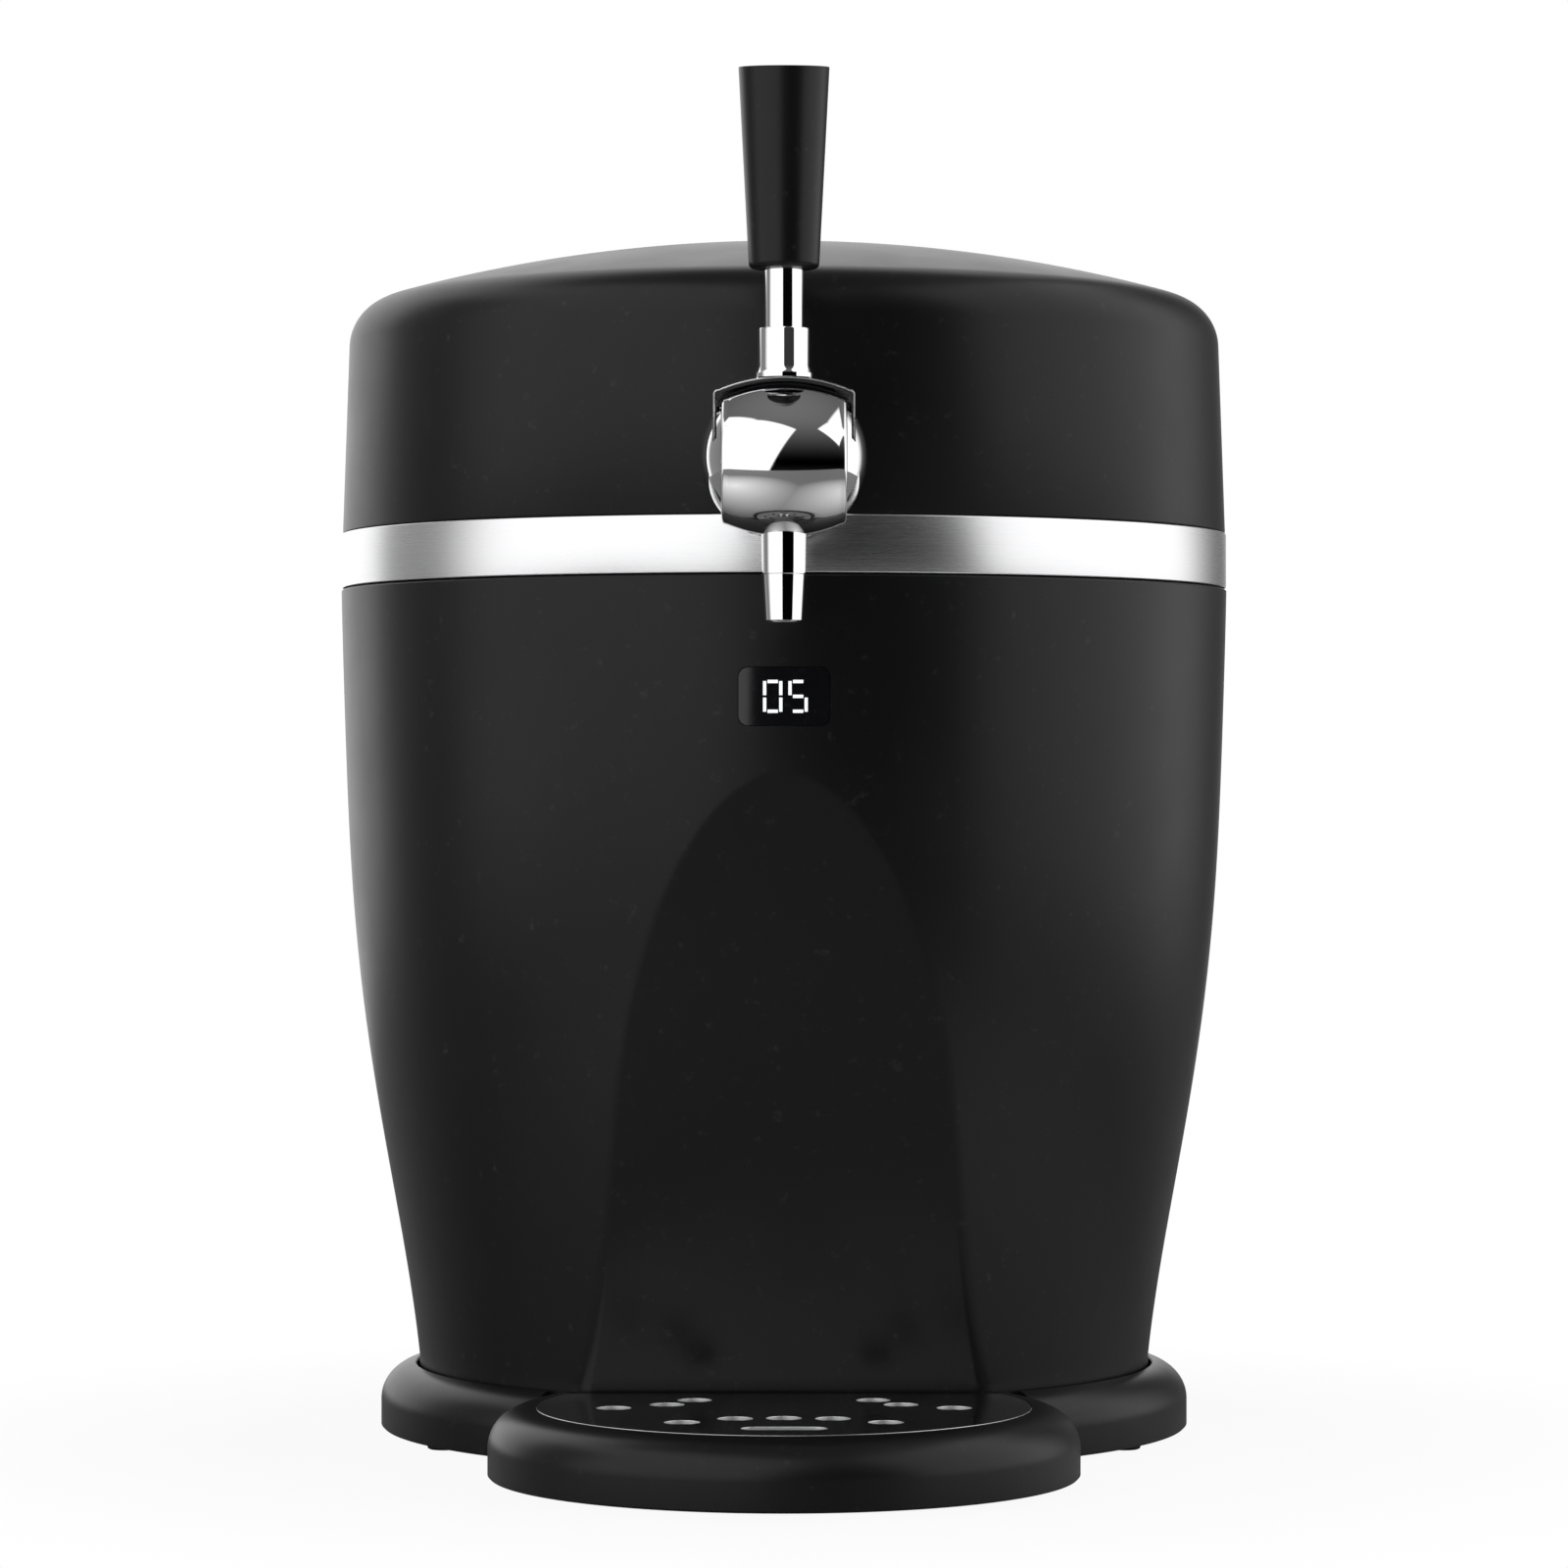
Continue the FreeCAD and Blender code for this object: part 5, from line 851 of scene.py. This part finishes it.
class DISPENSER_OT_body(bpy.types.Operator):
    """Makes the barrel with its recess, and the pocket at the rear"""
    bl_idname = "dispenser.body"
    bl_label = "Body"

    def execute(self, context):
        body = settings().body
        lip = 0.5 * MM
        outer_rows, inner_rows = 96, 12
        pen = Pen(barrel_radius(SHELL_LOW), SHELL_LOW)
        for row in range(outer_rows + 1):
            z = BASE_TOP + (SHELL_TOP - lip - BASE_TOP) * row / outer_rows
            pen.line((barrel_radius(z), z))
        pen.line((barrel_radius(SHELL_TOP) - lip, SHELL_TOP), (barrel_radius(SHELL_TOP) - SHELL_WALL, SHELL_TOP))
        for row in reversed(range(inner_rows)):
            z = BASE_TOP + (SHELL_TOP - BASE_TOP) * row / inner_rows
            pen.line((barrel_radius(z) - SHELL_WALL, z))
        pen.line((barrel_radius(SHELL_LOW) - SHELL_WALL, SHELL_LOW))
        shell = pressed(fine_edge(pen.close().turn(body.steps)), body.recess_edge)
        pocket = box_form(-POCKET_HALF_W, POCKET_HALF_W, POCKET_Y, 0.2, POCKET_LOW, POCKET_HIGH)
        shell = carved(shell, [joined([display_block(FIT), pocket] + vent_forms())])
        piece(placed(shell), "body_shell", "lower_shell")
        self.tub()
        return {"FINISHED"}

    def tub(self):
        """The pocket's floor and sides, whose rim follows the barrel."""
        outside = 0.118
        lengthways = along(1)
        bm = box_form(-POCKET_HALF_W, POCKET_HALF_W, POCKET_Y, outside, POCKET_LOW, POCKET_HIGH)
        rear = [f for f in bm.faces if f.normal.y > 0.9]
        bmesh.ops.delete(bm, geom=rear, context="FACES_ONLY")
        across = [e for e in bm.edges if not lengthways(e)]
        bmesh.ops.subdivide_edges(bm, edges=across, cuts=15, use_grid_fill=True)
        for vert in bm.verts:
            if vert.co.y > outside - MM:
                vert.co.y = sqrt((barrel_radius(vert.co.z) - POCKET_RIM) ** 2 - vert.co.x ** 2)
        bmesh.ops.recalc_face_normals(bm, faces=bm.faces[:])
        bmesh.ops.reverse_faces(bm, faces=bm.faces[:])
        bmesh.ops.solidify(bm, geom=bm.faces[:], thickness=-POCKET_WALL)
        holes = []
        for node, rim in (("mains_inlet", 2 * MM), ("switch_frame", 1.5 * MM)):
            lower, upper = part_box(node)
            holes.append(box_form(lower.x + rim, upper.x - rim, 0.09, 0.12, lower.z + rim, upper.z - rim))
        piece(placed(carved(bm, [joined(holes)])), "pocket_tub", "lower_shell")


class DISPENSER_OT_display(bpy.types.Operator):
    """Sets the dark pane over the two lit digits"""
    bl_idname = "dispenser.display"
    bl_label = "Display pane"

    def execute(self, context):
        lower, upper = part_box("display_window")
        gap, inset, deep = 0.3 * MM, 0.1 * MM, 2 * MM
        rows = 12
        pen = Pen(barrel_radius(lower.z) - deep, lower.z - gap)
        for row in range(rows + 1):
            z = lower.z - gap + (upper.z - lower.z + 2 * gap) * row / rows
            pen.line((barrel_radius(z) - inset, z))
        pen.line((barrel_radius(upper.z) - deep, upper.z + gap))
        pane = carved(pen.close().turn(720), [display_block(-0.05 * MM)], "INTERSECT")
        piece(placed(pane), "display_pane", "display_window", edge=0.25 * MM)
        return {"FINISHED"}


# ---- base and tray ----

def rounded_rim(pen, radius, reach=1.0):
    """Carries the pen round the base's rounded top, a quarter of an ellipse or a share of its reach."""
    rise = RIM_TOP - BASE_SIDE_TOP
    last = acos(1 - reach)
    steps = 16
    for step in range(1, steps + 1):
        turn = last * step / steps
        pen.line((radius - RIM_REACH * (1 - cos(turn)), BASE_SIDE_TOP + rise * sin(turn)))
    return pen


def kept_plan(grow):
    """The body's plan behind the tray, as a cutter."""
    disc = upright(KEEP_R + grow, 0, UNDER, OVER, 256)
    block = box_form(-0.2, 0.2, -TRAY_BACK - grow, 0.2, UNDER, OVER)
    return carved(disc, [block], "INTERSECT")


class DISPENSER_OT_base(bpy.types.Operator):
    """Makes the ring round the body's foot"""
    bl_idname = "dispenser.base"
    bl_label = "Base ring"

    def execute(self, context):
        pen = rounded_rim(Pen(BASE_R, BASE_LOW + FOOT_EDGE).line((BASE_R, BASE_SIDE_TOP)), BASE_R,
                          (BASE_R - KEEP_R - 0.4 * MM) / RIM_REACH)
        pen.line((KEEP_R, RIM_TOP - 0.5 * MM), (KEEP_R, PLATE_TOP), (BASE_R - RING_WALL, PLATE_TOP),
                 (BASE_R - RING_WALL, BASE_LOW), (BASE_R - FOOT_EDGE, BASE_LOW))
        ring = pen.close().turn(settings().body.steps)
        near = TRAY_R + TRAY_GAP
        pen = rounded_rim(Pen(0, UNDER).line((near, UNDER), (near, BASE_SIDE_TOP)), near, RING_OVER_TRAY)
        pen.line((near - RING_OVER_TRAY * RIM_REACH, OVER), (0, OVER))
        ring = carved(ring, [pen.close().turn(TRAY_STEPS, (0, TRAY_MID, 0))])
        piece(placed(ring), "base_form", "base_ring", edge=RIM_EDGE)
        return {"FINISHED"}


class DISPENSER_OT_tray(bpy.types.Operator):
    """Makes the drip tray with its ledge, and the mirror plate that lies on it"""
    bl_idname = "dispenser.tray"
    bl_label = "Drip tray"

    def execute(self, context):
        self.tray()
        self.grid()
        return {"FINISHED"}

    def tray(self):
        pen = Pen(0, BASE_LOW).line((TRAY_R - FOOT_EDGE, BASE_LOW), (TRAY_R, BASE_LOW + FOOT_EDGE),
                                    (TRAY_R, BASE_SIDE_TOP))
        pen = rounded_rim(pen, TRAY_R).line((0, RIM_TOP))
        lobe = carved(pen.close().turn(TRAY_STEPS, (0, TRAY_MID, 0)), [kept_plan(0)])
        basin = carved(upright(GRID_R - SEAT_W, TRAY_MID, TRAY_FLOOR, OVER, 256), [kept_plan(TRAY_WALL)])
        seat = upright(GRID_R + 2 * FIT, TRAY_MID, GRID_LOW, OVER, 256)
        lobe = carved(carved(lobe, [basin]), [seat])
        piece(placed(lobe), "tray_form", "drip_tray", edge=RIM_EDGE)

    def grid(self):
        plate = upright(GRID_R, TRAY_MID, GRID_LOW, GRID_HIGH, 256)
        cutters = [box_form(-FAR, FAR, high("drip_grid").y - KEG_Y, 0, 0, OVER)]
        for spoke in GRID_SPOKES:
            for radius, spread in GRID_RINGS:
                for angle in sorted({spoke - spread, spoke + spread}):
                    x = radius * cos(radians(angle))
                    y = TRAY_MID + radius * sin(radians(angle))
                    if y < -TRAY_BACK - GRID_HOLE_R - 1.5 * MM:
                        cutters.append(upright(GRID_HOLE_R, y, 0, OVER, 56, x))
        slot = box_form(-SLOT_HALF_W, SLOT_HALF_W, TRAY_MID - SLOT_FAR, TRAY_MID - SLOT_NEAR, 0, OVER)
        cutters.append(rounded_edges(slot, (SLOT_FAR - SLOT_NEAR) / 2 - 0.01 * MM, 12, along(2)))
        plate = carved(plate, [joined(cutters)])
        thing = piece(placed(plate), "grid_form", "drip_grid", edge=0.3 * MM, segments=3)
        thing.data.materials.append(MATERIALS["cut_steel"])
        for polygon in thing.data.polygons:
            polygon.material_index = 1 if abs(polygon.normal.z) < 0.5 else 0


# ---- lid ----

def lid_shoulder():
    """Middle of the round shoulder, its tilt where the dome starts, and the dome's middle."""
    lean = tan(DRAFT)
    edge_r = LID_R - SHOULDER_R / cos(DRAFT)
    dome_mid = LID_TOP - DOME_R
    a = 1 + lean ** 2
    b = -2 * (lean * (edge_r + lean * LID_FOOT) + dome_mid)
    c = (edge_r + lean * LID_FOOT) ** 2 + dome_mid ** 2 - (DOME_R - SHOULDER_R) ** 2
    z = (-b + sqrt(b * b - 4 * a * c)) / (2 * a)
    r = edge_r - lean * (z - LID_FOOT)
    return r, z, atan2(z - dome_mid, r), dome_mid


def lid_solid():
    """The lid's closed form, for what seats on it."""
    r, z, tilt, dome_mid = lid_shoulder()
    pen = Pen(0, BAND_LOW).line((LID_R, BAND_LOW), (LID_R, LID_FOOT),
                                (r + SHOULDER_R * cos(DRAFT), z + SHOULDER_R * sin(DRAFT)))
    pen.arc(r, z, DRAFT - tilt, 10).arc(0, dome_mid, tilt - pi / 2, 16)
    return pen.close().turn(256)


class DISPENSER_OT_lid(bpy.types.Operator):
    """Makes the domed lid and the metal band round its foot"""
    bl_idname = "dispenser.lid"
    bl_label = "Lid and band"

    def execute(self, context):
        steps = settings().body.steps
        r, z, tilt, dome_mid = lid_shoulder()
        skirt = BAND_R - BAND_T - FIT
        lip = 0.4 * MM
        ease = 0.6 * MM
        inner = SHOULDER_R - LID_WALL
        pen = Pen(skirt - LID_WALL, BAND_LOW).line(
            (skirt, BAND_LOW), (skirt, LID_FOOT), (LID_R - ease, LID_FOOT),
            (LID_R - ease * 0.3, LID_FOOT + ease * 0.3), (LID_R - ease * tan(DRAFT), LID_FOOT + ease),
            (r + SHOULDER_R * cos(DRAFT), z + SHOULDER_R * sin(DRAFT)))
        pen.arc(r, z, DRAFT - tilt, 24).arc(0, dome_mid, tilt - pi / 2, 48).line((0, LID_TOP - LID_WALL))
        pen.arc(0, dome_mid, pi / 2 - tilt, 16).arc(r, z, tilt - DRAFT, 8)
        pen.line((r + inner * cos(DRAFT) + tan(DRAFT) * (z - LID_FOOT), LID_FOOT + 2 * MM),
                 (skirt - LID_WALL, LID_FOOT + 2 * MM))
        piece(placed(pen.close().turn(steps)), "lid_dome", "lid_shell", sharp=40)
        inside = BAND_R - BAND_T
        band = Pen(inside, BAND_LOW + lip).line((inside + lip, BAND_LOW), (BAND_R - lip, BAND_LOW))
        band.arc(BAND_R - lip, BAND_LOW + lip, -pi / 2, 4).line((BAND_R, BAND_HIGH - lip))
        band.arc(BAND_R - lip, BAND_HIGH - lip, -pi / 2, 4).line((inside + lip, BAND_HIGH), (inside, BAND_HIGH - lip))
        piece(placed(band.close().turn(steps)), "band_form", "lid_band", sharp=50)
        return {"FINISHED"}


# ---- tap ----

def pivot_block(near, far, low_z=PIVOT_Z - FAR, high_z=PIVOT_Z + FAR):
    """A block across the tap, between two distances behind the pivot."""
    return box_form(-0.05, 0.05, PIVOT_Y + near, PIVOT_Y + far, low_z, high_z)


class DISPENSER_OT_tap(bpy.types.Operator):
    """Makes the tap: flange, ball, nose, valve head and spout"""
    bl_idname = "dispenser.tap"
    bl_label = "Tap"

    def execute(self, context):
        self.flange()
        self.ball()
        self.nose()
        self.valve_head()
        self.spout()
        return {"FINISHED"}

    def flange(self):
        deep, edge = 46 * MM, 2.5 * MM
        pen = Pen(0, 0).line((FLANGE_R, 0), (FLANGE_R, deep - edge)).arc(FLANGE_R - edge, deep - edge, -pi / 2, 10)
        disc = pen.line((0, deep)).close().turn(160, (0, FLANGE_FRONT + deep, BALL_Z), (0, -1, 0))
        piece(placed(carved(disc, [lid_solid()])), "flange_form", "tap_flange")

    def ball(self):
        """The housing, cut for flange, nose, foot, hood, shroud, bosses and spout."""
        ball = bmesh.new()
        bmesh.ops.create_uvsphere(ball, u_segments=160, v_segments=96, radius=BALL_R)
        ball.transform(Matrix.Translation((0, BALL_Y, BALL_Z)) @ Matrix.Rotation(pi / 2, 4, "X"))
        reach, nose_half = 2 * BALL_R, NOSE[0] + FIT
        front, bottom, top = BALL_Y - reach, BALL_Z - reach, BALL_Z + reach
        flange = box_form(-reach, reach, FLANGE_FRONT, 0, bottom, top)
        nose_room = box_form(-nose_half, nose_half, front, PIVOT_Y + 4 * MM, bottom, top)
        under = box_form(-reach, reach, front, 0, 0.2, BALL_FOOT)
        first, last = SWEEP
        sweep = sector(HOOD[0] + HOOD_PLAY, 35 * MM, 34 * MM, HOOD[3], first, last, 64)
        sweep = carved(sweep, [sector(*CORE, first - 3, last + 3, 64)])
        hubs = hub_forms(HUB_R + FIT, HOOD[0] - HOOD_SIDE - HOOD_PLAY, HOOD[0] + HOOD_PLAY)
        spout = upright(SPOUT_R + FIT, PIVOT_Y, 0.2, SPOUT_TOP_Z)
        for cutters in ([flange], [nose_room], [under], [sweep], [sector(*SHROUD, *SHROUD_TURN, 24)],
                        [joined(hubs), spout]):
            ball = carved(ball, cutters)
        piece(placed(ball), "ball_form", "tap_ball", sharp=25)

    def nose(self):
        """A crowned drum in front of the ball, flatter above, where it ends in a brow."""
        nose = carved(sector(*NOSE, 0, 360, 144), [pivot_block(-FAR, 3.85 * MM)], "INTERSECT")
        slope = radians(BROW_DEG)
        shift = BROW_R - NOSE[1]
        heart = (PIVOT_Y + shift * sin(slope), PIVOT_Z - shift * cos(slope))
        brow = sector(NOSE[0], BROW_R, BROW_R - NOSE[1] + NOSE[2], NOSE[3], BROW_DEG - BROW_TURN, BROW_DEG, 24, heart)
        nose = carved(nose, [carved(brow, [pivot_block(-2 * MM, FAR)])], "UNION")
        nose = carved(nose, [upright(SPOUT_R + 0.05 * MM, PIVOT_Y, 0.2, SPOUT_TOP_Z)])
        piece(placed(nose), "nose_form", "tap_nose", edge=0.3 * MM, segments=3)

    def valve_head(self):
        """The black head under the hood, with a chrome lip at its front."""
        head = sector(*SHROUD, *SHROUD_TURN, 24)
        room = sector(NOSE[0] + 8 * MM, NOSE[1] + FIT, NOSE[2] + FIT, 0.9 * MM, -89, 89, 64)
        piece(placed(carved(head, [room])), "valve_head", "valve_shroud", edge=0.3 * MM)
        front = SHROUD_TURN[1]
        lip = sector(*grown(SHROUD[:3], 0.12 * MM), SHROUD[3], front - 1, front + 0.6, 4)
        lip = carved(lip, [sector(*grown(SHROUD, -0.2 * MM), front - 3, front + 3, 8),
                           pivot_block(-FAR, FAR, 0, PIVOT_Z + 13 * MM)])
        piece(placed(lip), "valve_lip", "valve_shroud", "chrome")

    def spout(self):
        top = SPOUT_TOP_Z
        pen = Pen(4.2 * MM, top).line((5 * MM, top + 6.5 * MM), (5 * MM, top), (SPOUT_R, top),
                                      (6.25 * MM, top - 11.6 * MM), (6.1 * MM, top - 11.8 * MM),
                                      (5.35 * MM, top - 24.7 * MM), (5.05 * MM, top - 25 * MM),
                                      (4.35 * MM, top - 25 * MM), (4.2 * MM, top - 24.8 * MM))
        piece(placed(pen.close().turn(96, (0, PIVOT_Y, 0))), "spout_form", "tap_spout")


def hood_sector(sizes=HOOD, back=0.0, front=0.0, steps=40):
    """A sector with the hood's middle, longer than the hood by some degrees at its back and front."""
    return sector(*sizes, HOOD_BACK - back, HOOD_FRONT + front, steps, HOOD_CENTRE)


class DISPENSER_OT_lever(bpy.types.Operator):
    """Makes the lever: hood, collar, stem and grip"""
    bl_idname = "dispenser.lever"
    bl_label = "Lever"

    def execute(self, context):
        self.hood()
        self.collar()
        self.grip()
        return {"FINISHED"}

    def hood(self):
        """A chrome skin over a black liner with the bosses that turn on the spindle."""
        skin = carved(hood_sector(), [hood_sector(grown(HOOD, -HOOD_SKIN), 3, 3, 46)])
        piece(placed(skin), "hood_form", "lever_hood", edge=0.2 * MM, segments=3)
        gap = 0.02 * MM
        half_w, mid_r, side_r, corner = HOOD
        inside = (half_w - HOOD_SIDE, mid_r - HOOD_CROWN, side_r - HOOD_CROWN, corner - HOOD_SIDE)
        liner = hood_sector(grown(HOOD, -(HOOD_SKIN + gap)), -0.5, -0.5)
        liner = carved(liner, [hood_sector(inside, 3, 3, 46)])
        liner = carved(liner, hub_forms(HUB_R, half_w - HOOD_SIDE, half_w - gap), "UNION")
        piece(placed(liner), "hood_liner", "lever_hood", "black_fitting")

    def collar(self):
        """The collar that stands on the hood, and the stem in it."""
        foot = HOOD_CENTRE[1] + HOOD[1]
        top = COLLAR_TOP_Z
        stem_top = top + 32 * MM
        axis = (0, PIVOT_Y, 0)
        pen = Pen(STEM_ROOT_R, foot - 1.5 * MM).line(
            (8.3 * MM, foot - 1.5 * MM), (8.3 * MM, foot - 0.3 * MM), (8.0 * MM, foot + 0.2 * MM),
            (7.4 * MM, foot + 1.6 * MM), (7.4 * MM, top - 0.5 * MM), (7.25 * MM, top - 0.15 * MM),
            (6.9 * MM, top), (STEM_ROOT_R, top))
        collar = carved(pen.close().turn(96, axis), [hood_sector(front=8)])
        piece(placed(collar), "collar_form", "lever_collar")
        pen = Pen(0, foot + MM).line((STEM_ROOT_R, foot + MM), (STEM_ROOT_R, top), (STEM_R, top),
                                     (STEM_R, stem_top - 0.5 * MM), (STEM_R - 0.5 * MM, stem_top), (0, stem_top))
        piece(placed(pen.close().turn(96, axis)), "stem_form", "lever_stem")

    def grip(self):
        """A tapered rod with a slanted top."""
        lower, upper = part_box("tap_grip")
        foot_r, top_r, edge = 10 * MM, 12.9 * MM, 1.6 * MM
        top = upper.z
        drop = top_r * tan(GRIP_TILT)
        widening = (top_r - foot_r) / (top - lower.z - edge)
        pen = Pen(0, lower.z).line((foot_r - edge, lower.z)).arc(foot_r - edge, lower.z + edge, -pi / 2, 8)
        pen.line((top_r + 2 * drop * widening, top + 2 * drop), (0, top + 2 * drop))
        grip = pen.close().turn(128, (0, PIVOT_Y, 0))
        above = box_form(-0.04, 0.04, -0.04, 0.04, 0, 0.06)
        above.transform(Matrix.Translation((0, PIVOT_Y, top - drop)) @ Matrix.Rotation(GRIP_TILT, 4, "X"))
        hole = upright(STEM_R + 0.05 * MM, PIVOT_Y, lower.z - 0.01, lower.z + 15.3 * MM)
        grip = carved(carved(grip, [above]), [hole])
        piece(placed(grip), "grip_form", "tap_grip", edge=1.1 * MM, segments=4)


# ---- fittings ----

# Width of each eased edge, in mm
SOFT_EDGES = {"base_plate": 0.4, "rubber_feet": 0.8, "tray_pads": 0.6, "base_screws": 0.2, "hinge_bracket": 0.5,
              "hinge_leaf": 0.5, "hinge_pin": 0.2, "bracket_screws": 0.25, "leaf_screws": 0.25, "mains_inlet": 0.35,
              "inlet_pins": 0.3, "switch_frame": 0.3, "power_rocker": 0.3, "top_rim": 0.3, "keg_liner": 0.0,
              "lid_liner": 0.0, "lid_gasket": 0.4, "lid_screws": 0.2, "keg_coupler": 0.3, "coupler_seal": 0.3,
              "shank_nut": 0.4, "nut_washer": 0.2, "hose_clips": 0.15, "beer_hose": 0.0, "valve_spindle": 0.2}


class DISPENSER_OT_fittings(bpy.types.Operator):
    """Eases the edges of the plate, the feet, the hinge, the inlet, the switch and the keg's fittings"""
    bl_idname = "dispenser.fittings"
    bl_label = "Fittings"

    def execute(self, context):
        for node, edge in SOFT_EDGES.items():
            softened(node, edge * MM)
        return {"FINISHED"}


# ---- panel and start ----

STEPS = (DISPENSER_OT_materials, DISPENSER_OT_stage, DISPENSER_OT_body, DISPENSER_OT_display, DISPENSER_OT_base,
         DISPENSER_OT_tray, DISPENSER_OT_lid, DISPENSER_OT_tap, DISPENSER_OT_lever, DISPENSER_OT_fittings)


class DISPENSER_PT_panel(bpy.types.Panel):
    """Lists the dispenser's pieces and their settings"""
    bl_idname = "DISPENSER_PT_panel"
    bl_label = "Mini Keg Dispenser"
    bl_space_type = "VIEW_3D"
    bl_region_type = "UI"
    bl_category = "Dispenser"

    def draw(self, context):
        for group in (settings().body, settings().metal, settings().stage):
            part = self.layout.box()
            for name in group.__annotations__:
                part.prop(group, name)
        for step in STEPS:
            self.layout.operator(step.bl_idname)


CLASSES = (BodySettings, MetalSettings, StageSettings, DispenserSettings) + STEPS + (DISPENSER_PT_panel,)


def register():
    for each in CLASSES:
        bpy.utils.register_class(each)
    bpy.types.Scene.dispenser = PointerProperty(type=DispenserSettings)


def unregister():
    del bpy.types.Scene.dispenser
    for each in reversed(CLASSES):
        bpy.utils.unregister_class(each)


def main():
    register()
    for step in STEPS:
        group, action = step.bl_idname.split(".")
        getattr(getattr(bpy.ops, group), action)()


if __name__ == "__main__":
    main()
